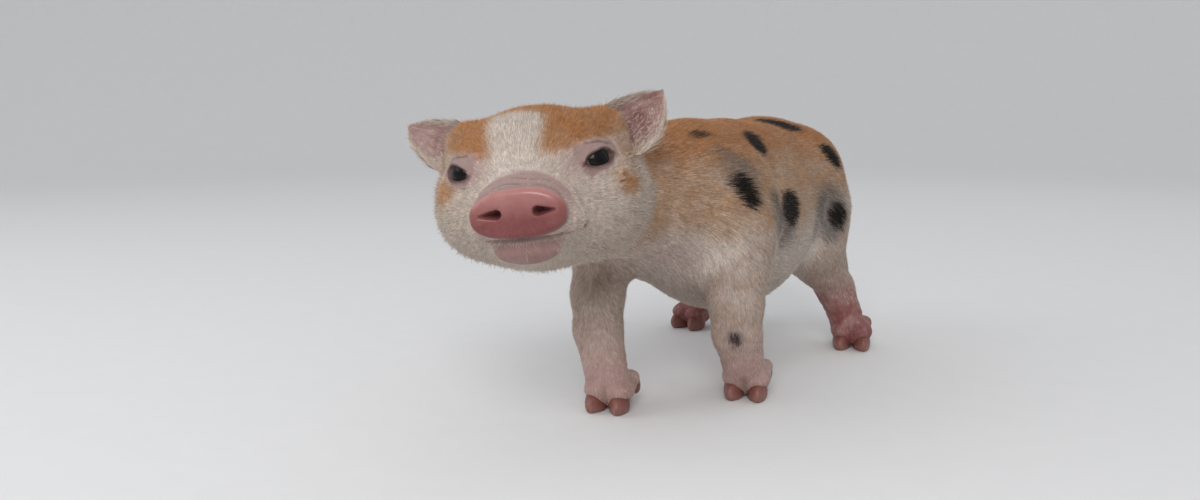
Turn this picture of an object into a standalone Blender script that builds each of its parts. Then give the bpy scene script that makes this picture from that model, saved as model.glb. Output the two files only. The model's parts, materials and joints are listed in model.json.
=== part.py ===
"""A miniature piglet that stands with its chin lifted and its head turned to its left.

Lengths are in metres and angles in degrees. +Z is up, the piglet faces -Y and its own left
side is +X. It is built with the origin on the floor under the middle of the trunk, and is
moved at the end until the origin is under the middle of the whole piglet. The head has a
frame of its own: its snout points along the frame's -Y and its own left side is the frame's
+X. A foot's frame is on the floor under it, with the claws towards the frame's -Y.
"""

import math

import bmesh
import bpy
import numpy as np
from mathutils import Matrix, Vector

# Fineness of the flesh: the remesh's voxel, and how many triangles are kept
VOXEL = 0.0017
DRAW_ROUNDS = 5
FLESH_TRIANGLES = 5600
SPARE_STRENGTH = 0.00002
SPARED = {"eye": 1.0, "snout": 0.85, "head": 0.45, "leg": 0.15, "trunk": 0.02}
GAP = 0.0003
SEAT_GAP = 0.00045

# Drawing a point onto a form: the step that finds the slope, and the longest move of a round
SLOPE_STEP = 0.0002
LONGEST_MOVE = 0.004

# Where the spared regions end: from an eye's middle, along the head and above the floor
EYE_REGION = 0.013
SNOUT_REGION = -0.026
HEAD_REGION = 0.035
TRUNK_REGION = 0.045

# How finely the balls are drawn, as segments and rings
BALL_FINENESS = (20, 12)
EYE_FINENESS = (14, 8)
CLAW_FINENESS = (10, 6)
DEWCLAW_FINENESS = (8, 5)
DISC_FINENESS = (26, 10)
NOSTRIL_FINENESS = (12, 6)
WALL_FINENESS = (18, 12)
PLATE_SEGMENTS = 18

# The head's place and turn in the whole animal
HEAD_PLACE = Vector((-0.022, -0.172, 0.1213))
HEAD_YAW = 24.0
HEAD_LIFT = 1.6
HEAD_ROLL = 6.7

# How softly two forms melt together, as the width of the join
TRUNK_MELT = 0.026
LIMB_MELT = 0.010
HEAD_MELT = 0.010
SMALL_MELT = 0.004

# The trunk, as centres and half sizes, with the left one of each pair
BELLY = ((0, -0.003, 0.0860), (0.0480, 0.0760, 0.0500))
CHEST = ((0, -0.058, 0.1040), (0.0390, 0.0430, 0.0395))
BACK = ((0, 0.018, 0.1060), (0.0390, 0.0790, 0.0375))
RUMP = ((0, 0.061, 0.1040), (0.0460, 0.0420, 0.0400))
HIP = ((0.0250, 0.061, 0.1100), (0.0240, 0.0340, 0.0290))
SHOULDER = ((0.0290, -0.060, 0.0960), (0.0190, 0.0290, 0.0350))
HAM = ((0.0320, 0.062, 0.0820), (0.0220, 0.0300, 0.0360))
NECK = ((0, -0.065, 0.110), (-0.014, -0.138, 0.1135), 0.0350, 0.0300)

# The legs, from the body down to the pastern, each joint as its place and half thickness,
# then the foot's place on the floor and how far its claws turn to the piglet's left
LEGS = {
    "fore_left": (
        (
            ((0.0330, -0.062, 0.088), 0.0195), ((0.0350, -0.069, 0.072), 0.0168),
            ((0.0360, -0.071, 0.054), 0.0146), ((0.0365, -0.070, 0.038), 0.0130),
            ((0.0372, -0.062, 0.020), 0.0116),
        ),
        (0.0372, -0.0560), 15.0,
    ),
    "fore_right": (
        (
            ((-0.0310, -0.072, 0.090), 0.0195), ((-0.0320, -0.092, 0.074), 0.0168),
            ((-0.0300, -0.103, 0.058), 0.0146), ((-0.0260, -0.109, 0.041), 0.0130),
            ((-0.0190, -0.113, 0.020), 0.0116),
        ),
        (-0.0165, -0.1120), 12.0,
    ),
    "hind_left": (
        (
            ((0.0330, 0.060, 0.088), 0.0220), ((0.0365, 0.054, 0.068), 0.0175),
            ((0.0395, 0.067, 0.053), 0.0145), ((0.0440, 0.078, 0.038), 0.0122),
            ((0.0515, 0.079, 0.020), 0.0110),
        ),
        (0.0565, 0.0770), 18.0,
    ),
    "hind_right": (
        (
            ((-0.0330, 0.060, 0.088), 0.0220), ((-0.0370, 0.056, 0.068), 0.0175),
            ((-0.0410, 0.070, 0.053), 0.0145), ((-0.0460, 0.084, 0.038), 0.0122),
            ((-0.0530, 0.080, 0.020), 0.0110),
        ),
        (-0.0560, 0.0770), -10.0,
    ),
}

# A foot, in its own frame
SOLE_FLESH = ((0, 0.0005, 0.0106), (0.0126, 0.0125, 0.0094))
DEWCLAW_ROOT = ((0.0088, 0.0085, 0.0145), 0.0042)
CLAW_CENTRE = Vector((0.0063, -0.0062, 0.0045))
CLAW_HALF = Vector((0.0056, 0.0100, 0.0078))
CLAW_TOE_IN = 7.0
CLAW_NARROWS = 0.35
CLAW_LOWERS = 0.25
DEWCLAW_CENTRE = Vector((0.0098, 0.0112, 0.0104))
DEWCLAW_HALF = Vector((0.0029, 0.0036, 0.0062))
DEWCLAW_LEAN = 28.0

# The tail, from the rump down, each joint as its place and half thickness
TAIL = (
    ((0, 0.088, 0.1240), 0.0050), ((0.001, 0.108, 0.1215), 0.0042),
    ((0.004, 0.1195, 0.1135), 0.0034), ((0.0085, 0.1225, 0.1020), 0.0028),
    ((0.0135, 0.1185, 0.0915), 0.0024), ((0.0165, 0.119, 0.0820), 0.0020),
)
TAIL_MELT = 0.002

# The head, in its own frame, with the left one of each pair
CRANIUM = ((0, 0.010, 0.0070), (0.0415, 0.0390, 0.0300))
CHEEK = ((0.0245, 0.009, -0.0070), (0.0245, 0.0320, 0.0250))
THROAT = ((0, 0.004, -0.0180), (0.0290, 0.0340, 0.0190))
SNOUT = ((0, -0.004, -0.0045), (0, -0.034, -0.0070), 0.0250, 0.0150, 1.28)
MUZZLE = ((0, -0.0400, -0.0080), (0.0186, 0.0100, 0.0106), 0.0035)
JAW = ((0, -0.004, -0.0190), (0, -0.0345, -0.0208), 0.0175, 0.0092, 1.45)
LOWER_LIP = ((0, -0.0392, -0.0242), (0.0138, 0.0080, 0.0050))
UPPER_LIP = ((0.0155, -0.033, -0.0130), (0.0095, 0.0120, 0.0062))
MUZZLE_MELT = 0.006
LIP_MELT = 0.006

# The snout's disc and nostrils, in the head's frame
DISC = ((0, -0.0510, -0.0075), (0.0203, 0.0042, 0.0102), 0.0026)
DISC_POWER = 2.6
DISC_LEAN = 5.0
NOSTRIL_INNER = ((0.0085, -0.0555, -0.0065), (0.0031, 0.0050, 0.0021))
NOSTRIL_OUTER = ((0.0130, -0.0555, -0.0074), (0.0046, 0.0028, 0.0011))

# Eyes and lids, in the head's frame
EYE_CENTRE = Vector((0.0272, -0.0108, 0.0090))
EYE_RADIUS = 0.0085
LID_RADIUS = EYE_RADIUS + 0.0014
EYE_LOOK = Vector((0.70, -0.70, 0.16)).normalized()
LID_OPENING = (0.0098, 0.0060, 0.0057)
OPENING_REACH = 0.0115
ORBIT_RADIUS = 0.0105
ORBIT_CENTRE = EYE_CENTRE + 0.0160 * EYE_LOOK
ORBIT_MELT = 0.006

# Ears, in the head's frame: the ends of the root, then for each side the tip and how far the
# lower edge bulges out, as a share of half the root
EAR_BASE = ((0.0315, 0.0120, 0.0200), (0.0110, 0.0070, 0.0125))
EAR_ROOT_TOP = Vector((0.0290, 0.0130, 0.0320))
EAR_ROOT_LOW = Vector((0.0440, 0.0040, 0.0090))
EARS = {
    "left": (Vector((0.0610, 0.0160, 0.0350)), 0.25),
    "right": (Vector((0.0600, 0.0180, 0.0330)), -0.12),
}
EAR_ROOT = 0.5 * (EAR_ROOT_TOP + EAR_ROOT_LOW)
EAR_CUP = 0.0095
EAR_CURL = 0.0035
EAR_TAPER = 0.75
EAR_FULLNESS = 2.6
EAR_BULGE_REACH = 0.8
EAR_NARROWEST = 0.08
EAR_THICKNESS = 0.0018
EAR_ROWS = 9
EAR_COLUMNS = 8
EAR_SUNK = 0.22

# The mouth's line, in the head's frame, as seen from a point inside the snout
MOUTH_HEART = Vector((0, -0.012, -0.0188))
MOUTH_SPREAD = 62.0
MOUTH_RISE = 0.0015
MOUTH_GROOVE = 0.0009
MOUTH_STEPS = 12

# Finding the skin from far outside: how far out, how many steps, and the share of each
FAR_OUT = 0.1
MARCH_STEPS = 60
MARCH_SHARE = 0.8

# Where the flesh is parted: a thin round plate has a centre, a normal and a radius, and a
# thin egg-shaped wall round each leg has a centre and half sizes
NECK_PLATES = {
    "head_from_neck": ((-0.014, -0.130, 0.115), (-0.18, 0.98, 0.0), 0.052),
    "neck_from_torso": ((-0.004, -0.096, 0.112), (-0.12, 0.98, -0.12), 0.060),
    "tail_from_torso": ((0.0028, 0.1150, 0.1167), (0.21, 0.80, -0.56), 0.0075),
}
EAR_PLATE = (0.22, 0.0188)
LEG_WALLS = {
    "fore_left": ((0.0400, -0.069, 0.034), (0.0270, 0.0310, 0.060)),
    "fore_right": ((-0.0310, -0.100, 0.034), (0.0290, 0.0360, 0.060)),
    "hind_left": ((0.0480, 0.068, 0.034), (0.0290, 0.0340, 0.064)),
    "hind_right": ((-0.0470, 0.071, 0.034), (0.0290, 0.0340, 0.064)),
}

# Edges sharper than this stay sharp in the shading
SHARP_ANGLE = 50.0

# Each finish as its colour in linear values and its roughness
FINISHES = {
    "cream_coat": ((0.72, 0.55, 0.43), 0.75),
    "tan_coat": ((0.62, 0.42, 0.28), 0.75),
    "pink_skin": ((0.62, 0.30, 0.25), 0.60),
    "pink_nose": ((0.58, 0.20, 0.18), 0.40),
    "dark_eye": ((0.010, 0.007, 0.006), 0.08),
    "claw_horn": ((0.45, 0.24, 0.19), 0.45),
}
FLESH_FINISHES = {
    "head": "cream_coat", "neck": "tan_coat", "torso": "tan_coat",
    "tail": "pink_skin", "leg": "pink_skin", "ear": "pink_skin",
}

MIRROR_X = Matrix.Diagonal((-1, 1, 1, 1))


def turned(yaw, lift, roll):
    """A turn that points the snout to the left by yaw and up by lift, the left side up by roll."""
    return (
        Matrix.Rotation(math.radians(yaw), 4, "Z")
        @ Matrix.Rotation(math.radians(-lift), 4, "X")
        @ Matrix.Rotation(math.radians(-roll), 4, "Y")
    )


HEAD_FRAME = Matrix.Translation(HEAD_PLACE) @ turned(HEAD_YAW, HEAD_LIFT, HEAD_ROLL)
SIDE_FRAMES = {"left": HEAD_FRAME, "right": HEAD_FRAME @ MIRROR_X}


def foot_frame(leg):
    """The frame of a leg's foot."""
    _, (x, y), yaw = LEGS[leg]
    return Matrix.Translation((x, y, 0)) @ Matrix.Rotation(math.radians(yaw), 4, "Z")


def seen_from(points, frame):
    """The points in a frame's own coordinates."""
    inverse = np.array(frame.inverted())
    return points @ inverse[:3, :3].T + inverse[:3, 3]


def both_sides(points):
    """The points with the right side folded onto the left."""
    return np.column_stack((np.abs(points[:, 0]), points[:, 1:]))


def ball(points, centre, half):
    """Distance to an ellipsoid, near enough close to its surface."""
    q = points - np.array(centre)
    near = np.linalg.norm(q / half, axis=1)
    slope = np.linalg.norm(q / np.square(half), axis=1)
    return near * (near - 1.0) / np.maximum(slope, 1e-9)


def taper(points, start, end, start_thick, end_thick, widen=1.0):
    """Distance to a round-ended cone, wider along X by a factor."""
    q = points / (widen, 1, 1)
    a, b = np.array(start) / (widen, 1, 1), np.array(end) / (widen, 1, 1)
    along = np.clip((q - a) @ (b - a) / ((b - a) @ (b - a)), 0, 1)
    thick = start_thick + (end_thick - start_thick) * along
    return np.linalg.norm(q - a - along[:, None] * (b - a), axis=1) - thick


def plate(points, centre, half, rounding):
    """Distance to an upright plate with a snout's outline and a rounded rim."""
    q = (points - np.array(centre)) / np.array(half)
    rim = (np.abs(q[:, 0]) ** DISC_POWER + np.abs(q[:, 2]) ** DISC_POWER) ** (1 / DISC_POWER)
    rim = (rim - 1) * half[2] + rounding
    face = (np.abs(q[:, 1]) - 1) * half[1] + rounding
    out = np.hypot(np.maximum(rim, 0), np.maximum(face, 0))
    return out + np.minimum(np.maximum(rim, face), 0) - rounding


def melt(first, second, width):
    """Smooth union of two distances."""
    share = np.clip(0.5 + 0.5 * (second - first) / width, 0, 1)
    return second + (first - second) * share - width * share * (1 - share)


def chain(points, joints, width):
    """Distance to a row of round-ended cones."""
    form = None
    for (start, start_thick), (end, end_thick) in zip(joints, joints[1:]):
        piece = taper(points, start, end, start_thick, end_thick)
        form = piece if form is None else melt(form, piece, width)
    return form


def head_form(points):
    """Distance to the head, in the head's frame."""
    sides = both_sides(points)
    form = melt(ball(points, *CRANIUM), ball(sides, *CHEEK), HEAD_MELT)
    form = melt(form, ball(points, *THROAT), HEAD_MELT)
    form = melt(form, taper(points, *SNOUT), HEAD_MELT)
    form = melt(form, taper(points, *JAW), MUZZLE_MELT)
    form = melt(form, ball(sides, *UPPER_LIP), SMALL_MELT)
    form = melt(form, plate(points, *MUZZLE), MUZZLE_MELT)
    form = melt(form, ball(points, *LOWER_LIP), LIP_MELT)
    form = melt(form, ball(sides, *EAR_BASE), HEAD_MELT)
    form = -melt(-form, ball(sides, ORBIT_CENTRE, (ORBIT_RADIUS,) * 3), ORBIT_MELT)
    return melt(form, ball(sides, EYE_CENTRE, (LID_RADIUS,) * 3), SMALL_MELT)


def leg_form(points, leg):
    """Distance to a leg with its foot."""
    form = chain(points, LEGS[leg][0], SMALL_MELT)
    own = seen_from(points, foot_frame(leg))
    form = melt(form, ball(own, *SOLE_FLESH), SMALL_MELT)
    centre, thick = DEWCLAW_ROOT
    return melt(form, ball(both_sides(own), centre, (thick,) * 3), SMALL_MELT)


def flesh_form(points):
    """Distance to the whole flesh without the ears."""
    sides = both_sides(points)
    form = melt(ball(points, *BELLY), ball(points, *CHEST), TRUNK_MELT)
    form = melt(form, ball(points, *BACK), TRUNK_MELT)
    form = melt(form, ball(points, *RUMP), TRUNK_MELT)
    form = melt(form, taper(points, *NECK), TRUNK_MELT)
    for pair in (SHOULDER, HIP, HAM):
        form = melt(form, ball(sides, *pair), LIMB_MELT)
    for leg in LEGS:
        form = melt(form, leg_form(points, leg), LIMB_MELT)
    form = melt(form, chain(points, TAIL, TAIL_MELT), SMALL_MELT)
    return melt(form, head_form(seen_from(points, HEAD_FRAME)), HEAD_MELT)


class RoughBody:
    """A mesh of overlapping balls, gathered one by one."""

    def __init__(self):
        unit = bmesh.new()
        segments, rings = BALL_FINENESS
        bmesh.ops.create_uvsphere(unit, u_segments=segments, v_segments=rings, radius=1)
        self.ball_points = [vertex.co.copy() for vertex in unit.verts]
        self.ball_faces = [[vertex.index for vertex in face.verts] for face in unit.faces]
        unit.free()
        self.points = []
        self.faces = []

    def add_ball(self, frame, centre, half):
        place = frame @ Matrix.Translation(centre) @ Matrix.Diagonal((*half, 1))
        start = len(self.points)
        self.points += [place @ point for point in self.ball_points]
        self.faces += [[start + corner for corner in face] for face in self.ball_faces]

    def add_pair(self, frame, centre, half):
        self.add_ball(frame, centre, half)
        self.add_ball(frame, (-centre[0], *centre[1:]), half)

    def add_taper(self, frame, start, end, start_thick, end_thick, widen=1.0):
        start, end = Vector(start), Vector(end)
        steps = max(2, math.ceil((end - start).length / (0.5 * min(start_thick, end_thick))))
        for step in range(steps + 1):
            thick = start_thick + (end_thick - start_thick) * step / steps
            self.add_ball(frame, start.lerp(end, step / steps), (thick * widen, thick, thick))

    def add_chain(self, joints):
        for (start, start_thick), (end, end_thick) in zip(joints, joints[1:]):
            self.add_taper(Matrix(), start, end, start_thick, end_thick)


def rough_body():
    """The forms of the flesh as overlapping balls."""
    rough = RoughBody()
    for form in (BELLY, CHEST, BACK, RUMP):
        rough.add_ball(Matrix(), *form)
    for form in (SHOULDER, HIP, HAM):
        rough.add_pair(Matrix(), *form)
    rough.add_taper(Matrix(), *NECK)
    rough.add_chain(TAIL)
    for leg, (joints, _, _) in LEGS.items():
        rough.add_chain(joints)
        rough.add_ball(foot_frame(leg), *SOLE_FLESH)
        centre, thick = DEWCLAW_ROOT
        rough.add_pair(foot_frame(leg), centre, (thick,) * 3)
    for form in (CRANIUM, THROAT, LOWER_LIP, MUZZLE[:2]):
        rough.add_ball(HEAD_FRAME, *form)
    for form in (CHEEK, UPPER_LIP, EAR_BASE, (EYE_CENTRE, (LID_RADIUS,) * 3)):
        rough.add_pair(HEAD_FRAME, *form)
    rough.add_taper(HEAD_FRAME, *SNOUT)
    rough.add_taper(HEAD_FRAME, *JAW)
    data = bpy.data.meshes.new("flesh")
    data.from_pydata(rough.points, [], rough.faces)
    return data


def new_collection(name):
    """A collection in the scene."""
    collection = bpy.data.collections.new(name)
    bpy.context.scene.collection.children.link(collection)
    return collection


def empty_out(collection):
    """Removes a collection with its objects."""
    for obj in list(collection.objects):
        bpy.data.objects.remove(obj)
    bpy.data.collections.remove(collection)


def new_object(name, data, collection):
    """An object in a collection."""
    obj = bpy.data.objects.new(name, data)
    collection.objects.link(obj)
    return obj


def shape_object(name, shape, collection):
    """An object from a bmesh, which is turned outwards and freed."""
    bmesh.ops.recalc_face_normals(shape, faces=shape.faces)
    data = bpy.data.meshes.new(name)
    shape.to_mesh(data)
    shape.free()
    return new_object(name, data, collection)


def finish(obj, kind):
    """Gives an object its material and smooth shading."""
    colour, roughness = FINISHES[kind]
    material = bpy.data.materials.new(obj.name)
    material.use_nodes = True
    shader = material.node_tree.nodes["Principled BSDF"]
    shader.inputs["Base Color"].default_value = (*colour, 1)
    shader.inputs["Roughness"].default_value = roughness
    shader.inputs["Metallic"].default_value = 0.0
    obj.data.materials.clear()
    obj.data.materials.append(material)
    obj.data.shade_smooth()
    obj.data.set_sharp_from_angle(angle=math.radians(SHARP_ANGLE))


def settle(obj):
    """Applies the object's modifiers to its mesh."""
    graph = bpy.context.evaluated_depsgraph_get()
    data = bpy.data.meshes.new_from_object(obj.evaluated_get(graph))
    obj.modifiers.clear()
    obj.data = data


def combine(obj, collection, operation):
    """Joins a collection's objects to an object, or cuts them out of it."""
    change = obj.modifiers.new(operation.lower(), "BOOLEAN")
    change.operation = operation
    change.solver = "EXACT"
    change.operand_type = "COLLECTION"
    change.collection = collection
    settle(obj)
    empty_out(collection)


def mesh_points(data):
    """The points of a mesh as an array."""
    points = np.empty(len(data.vertices) * 3)
    data.vertices.foreach_get("co", points)
    return points.reshape(-1, 3)


def drawn(points, form, rounds=2):
    """The points drawn onto a form's surface along its slope."""
    for _ in range(rounds):
        here = form(points)
        beside = [form(points + SLOPE_STEP * axis) for axis in np.eye(3)]
        slope = (np.stack(beside, axis=1) - here[:, None]) / SLOPE_STEP
        size = np.maximum((slope * slope).sum(axis=1), 0.1)
        shift = -slope * (here / size)[:, None]
        length = np.linalg.norm(shift, axis=1)[:, None]
        points = points + shift * np.minimum(1, LONGEST_MOVE / np.maximum(length, 1e-9))
    return points


def draw_onto(obj, form, rounds):
    """Evens a mesh out and draws its points onto a form, a few times over."""
    data = obj.data
    points = mesh_points(data)
    ends = np.empty(len(data.edges) * 2, np.int64)
    data.edges.foreach_get("vertices", ends)
    ends = ends.reshape(-1, 2)
    links = np.bincount(ends.ravel(), minlength=len(points))[:, None]
    for _ in range(rounds):
        total = np.zeros_like(points)
        np.add.at(total, ends[:, 0], points[ends[:, 1]])
        np.add.at(total, ends[:, 1], points[ends[:, 0]])
        points = drawn(0.5 * points + 0.5 * total / links, form)
    data.vertices.foreach_set("co", points.ravel())
    data.update()


def spare_detail(obj, name):
    """A vertex group that is strongest where the flesh keeps the most points."""
    points = mesh_points(obj.data)
    own = seen_from(points, HEAD_FRAME)
    places = {
        "eye": np.linalg.norm(both_sides(own) - np.array(EYE_CENTRE), axis=1) < EYE_REGION,
        "snout": own[:, 1] < SNOUT_REGION,
        "head": own[:, 1] < HEAD_REGION,
        "trunk": points[:, 2] > TRUNK_REGION,
    }
    weight = np.select(list(places.values()), [SPARED[key] for key in places], SPARED["leg"])
    group = obj.vertex_groups.new(name=name)
    for value in np.unique(weight):
        group.add([int(index) for index in np.flatnonzero(weight == value)], float(value), "REPLACE")


def flesh(collection):
    """The whole flesh as one closed surface."""
    body = new_object("flesh", rough_body(), collection)
    remesh = body.modifiers.new("one_skin", "REMESH")
    remesh.mode = "VOXEL"
    remesh.voxel_size = VOXEL
    settle(body)
    draw_onto(body, flesh_form, DRAW_ROUNDS)
    spare_detail(body, "spared")
    thin = body.modifiers.new("thin_out", "DECIMATE")
    thin.ratio = FLESH_TRIANGLES / (2 * len(body.data.polygons))
    thin.vertex_group = "spared"
    thin.invert_vertex_group = True
    thin.vertex_group_factor = SPARE_STRENGTH
    settle(body)
    body.vertex_groups.clear()
    return body


def ear_back(side):
    """The direction that the back of an ear faces, in the frame of its side of the head."""
    return (EARS[side][0] - EAR_ROOT).cross(EAR_ROOT_LOW - EAR_ROOT_TOP).normalized()


def ear_point(side, along, across):
    """A point in the middle of an ear's wall, from root to tip and from the low edge to the top."""
    tip, bulge = EARS[side]
    half = 0.5 * (EAR_ROOT_TOP - EAR_ROOT_LOW)
    grown = min(max(along, 0), 1)
    top_width = max((1 - grown) ** EAR_TAPER, EAR_NARROWEST)
    low_width = (1 - grown ** EAR_FULLNESS) ** EAR_TAPER
    low_width += bulge * math.sin(math.pi * grown ** EAR_BULGE_REACH)
    width = top_width if across > 0 else max(low_width, EAR_NARROWEST)
    bend = EAR_CUP * (1 - across * across) * top_width - EAR_CURL * grown * grown
    return EAR_ROOT + (tip - EAR_ROOT) * along + half * (across * width) + ear_back(side) * bend


def ear(side, collection):
    """One ear as a thin cup, lofted from its root to its tip."""
    half = 0.5 * EAR_THICKNESS * ear_back(side)
    columns = [-1 + 2 * column / EAR_COLUMNS for column in range(EAR_COLUMNS + 1)]
    shape = bmesh.new()
    rings = []
    for row in range(EAR_ROWS + 1):
        along = -EAR_SUNK + (1 + EAR_SUNK) * row / EAR_ROWS
        back = [ear_point(side, along, across) + half for across in columns]
        front = [ear_point(side, along, across) - half for across in reversed(columns)]
        rings.append([shape.verts.new(point) for point in back + front])
    for lower, upper in zip(rings, rings[1:]):
        for index in range(len(lower)):
            after = (index + 1) % len(lower)
            shape.faces.new((lower[index], lower[after], upper[after], upper[index]))
    count = len(columns)
    for ring in (rings[0], rings[-1]):
        for index in range(count - 1):
            mate = 2 * count - 1 - index
            shape.faces.new((ring[index], ring[index + 1], ring[mate - 1], ring[mate]))
    bmesh.ops.triangulate(shape, faces=shape.faces)
    bmesh.ops.transform(shape, matrix=SIDE_FRAMES[side], verts=shape.verts)
    return shape_object("ear_" + side, shape, collection)


def sphere(name, frame, centre, half, collection, fineness):
    """A ball with half sizes in a frame."""
    segments, rings = fineness
    shape = bmesh.new()
    place = frame @ Matrix.Translation(centre) @ Matrix.Diagonal((*half, 1))
    bmesh.ops.create_uvsphere(
        shape, u_segments=segments, v_segments=rings, radius=1, matrix=place,
    )
    return shape_object(name, shape, collection)


def eyes(collection):
    """The two eyeballs."""
    for side, frame in SIDE_FRAMES.items():
        half = (EYE_RADIUS,) * 3
        eye = sphere("eye_" + side, frame, EYE_CENTRE, half, collection, EYE_FINENESS)
        finish(eye, "dark_eye")


def eye_cutters(collection):
    """The eyes' sockets and the openings between their lids."""
    look = EYE_LOOK.to_track_quat("Y", "Z").to_matrix().to_4x4()
    for side, frame in SIDE_FRAMES.items():
        half = (EYE_RADIUS + GAP,) * 3
        sphere("socket_" + side, frame, EYE_CENTRE, half, collection, EYE_FINENESS)
        place = frame @ Matrix.Translation(EYE_CENTRE + OPENING_REACH * EYE_LOOK) @ look
        sphere("opening_" + side, place, (0, 0, 0), LID_OPENING, collection, EYE_FINENESS)


def skin_point(heart, direction, form):
    """The point of a form's surface that is seen from far out towards a heart inside it."""
    reach = FAR_OUT
    for _ in range(MARCH_STEPS):
        reach -= MARCH_SHARE * form(np.array([heart + direction * reach]))[0]
    return heart + direction * reach


def mouth_path():
    """Points along the mouth's line on the head, from the right corner to the left one."""
    points = []
    for step in range(-MOUTH_STEPS, MOUTH_STEPS + 1):
        share = step / MOUTH_STEPS
        angle = math.radians(MOUTH_SPREAD) * share
        heart = MOUTH_HEART + Vector((0, 0, MOUTH_RISE * share ** 4))
        point = skin_point(heart, Vector((math.sin(angle), -math.cos(angle), 0)), head_form)
        points.append(HEAD_FRAME @ point)
    return points


def tube(name, points, thick, collection):
    """A round tube through points, with closed ends."""
    curve = bpy.data.curves.new(name, "CURVE")
    curve.dimensions = "3D"
    curve.bevel_depth = thick
    curve.bevel_resolution = 1
    curve.use_fill_caps = True
    spline = curve.splines.new("POLY")
    spline.points.add(len(points) - 1)
    for target, point in zip(spline.points, points):
        target.co = (*point, 1)
    holder = new_object(name + "_line", curve, collection)
    graph = bpy.context.evaluated_depsgraph_get()
    shape = bmesh.new()
    shape.from_mesh(bpy.data.meshes.new_from_object(holder.evaluated_get(graph)))
    bpy.data.objects.remove(holder)
    bmesh.ops.remove_doubles(shape, verts=shape.verts, dist=0.00001)
    return shape_object(name, shape, collection)


def disc(name, grow, collection):
    """The snout's disc, or its seat in the head when it is grown."""
    centre, half, rounding = DISC
    shape = bmesh.new()
    segments, rings = DISC_FINENESS
    bmesh.ops.create_uvsphere(shape, u_segments=segments, v_segments=rings, radius=1)
    spots = np.array([vertex.co for vertex in shape.verts]) * half
    spots = drawn(spots, lambda points: plate(points, (0, 0, 0), half, rounding), 8)
    for vertex, spot in zip(shape.verts, spots):
        vertex.co = spot
    bmesh.ops.recalc_face_normals(shape, faces=shape.faces)
    shape.normal_update()
    for vertex in shape.verts:
        vertex.co += grow * vertex.normal
    lean = Matrix.Rotation(math.radians(DISC_LEAN), 4, "X")
    place = HEAD_FRAME @ Matrix.Translation(centre) @ lean
    bmesh.ops.transform(shape, matrix=place, verts=shape.verts)
    return shape_object(name, shape, collection)


def snout_disc(collection):
    """The disc of the snout with its two nostrils."""
    piece = disc("snout_disc", 0, collection)
    nostrils = new_collection("nostrils")
    for side, frame in SIDE_FRAMES.items():
        sphere("nostril_" + side, frame, *NOSTRIL_INNER, nostrils, NOSTRIL_FINENESS)
        sphere("slit_" + side, frame, *NOSTRIL_OUTER, nostrils, NOSTRIL_FINENESS)
    combine(piece, nostrils, "DIFFERENCE")
    finish(piece, "pink_nose")


def claw(name, frame, grow, collection):
    """A main claw with a flat sole and a narrow tip, or its seat when it is grown."""
    shape = bmesh.new()
    segments, rings = CLAW_FINENESS
    bmesh.ops.create_uvsphere(shape, u_segments=segments, v_segments=rings, radius=1)
    half = CLAW_HALF + Vector((grow, grow, grow))
    for vertex in shape.verts:
        x, y, z = vertex.co
        front = max(0, -y)
        vertex.co = (
            x * half.x * (1 - CLAW_NARROWS * front),
            y * half.y,
            z * half.z * (1 - CLAW_LOWERS * front),
        )
    toe_in = Matrix.Rotation(math.radians(CLAW_TOE_IN), 4, "Z")
    bmesh.ops.transform(shape, matrix=Matrix.Translation(CLAW_CENTRE) @ toe_in, verts=shape.verts)
    if not grow:
        flatten_sole(shape)
    bmesh.ops.transform(shape, matrix=frame, verts=shape.verts)
    return shape_object(name, shape, collection)


def flatten_sole(shape):
    """Cuts a claw flat at the floor."""
    everything = shape.verts[:] + shape.edges[:] + shape.faces[:]
    cut = bmesh.ops.bisect_plane(
        shape, geom=everything, dist=1e-6, plane_co=(0, 0, 0), plane_no=(0, 0, -1),
        clear_outer=True,
    )
    rim = [item for item in cut["geom_cut"] if isinstance(item, bmesh.types.BMEdge)]
    bmesh.ops.contextual_create(shape, geom=rim)
    for edge in rim:
        for vertex in edge.verts:
            vertex.co.z = 0


def dewclaw(name, frame, grow, collection):
    """A small claw behind the pastern, or its seat when it is grown."""
    lean = Matrix.Rotation(math.radians(DEWCLAW_LEAN), 4, "X")
    half = DEWCLAW_HALF + Vector((grow, grow, grow))
    place = frame @ Matrix.Translation(DEWCLAW_CENTRE) @ lean
    return sphere(name, place, (0, 0, 0), half, collection, DEWCLAW_FINENESS)


def claws(grow, collection):
    """All the claws, or their seats in the feet when they are grown."""
    for leg in LEGS:
        frame = foot_frame(leg)
        left, right = ("outer", "inner") if "left" in leg else ("inner", "outer")
        for side, own in ((left, frame), (right, frame @ MIRROR_X)):
            pair = (
                claw(f"claw_{leg}_{side}", own, grow, collection),
                dewclaw(f"dewclaw_{leg}_{side}", own, grow, collection),
            )
            if not grow:
                for piece in pair:
                    finish(piece, "claw_horn")


def thin_plate(name, centre, normal, radius, collection):
    """A thin round plate that parts two pieces."""
    shape = bmesh.new()
    turn = Vector(normal).to_track_quat("Z", "Y").to_matrix().to_4x4()
    bmesh.ops.create_cone(
        shape, cap_ends=True, segments=PLATE_SEGMENTS, radius1=radius, radius2=radius, depth=GAP,
        matrix=Matrix.Translation(centre) @ turn,
    )
    return shape_object(name, shape, collection)


def thin_wall(name, centre, half, collection):
    """A thin egg-shaped wall that parts a leg from the trunk."""
    wall = sphere(name, Matrix(), centre, half, collection, WALL_FINENESS)
    thicken = wall.modifiers.new("wall", "SOLIDIFY")
    thicken.thickness = GAP
    thicken.offset = 1
    settle(wall)
    return wall


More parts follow.
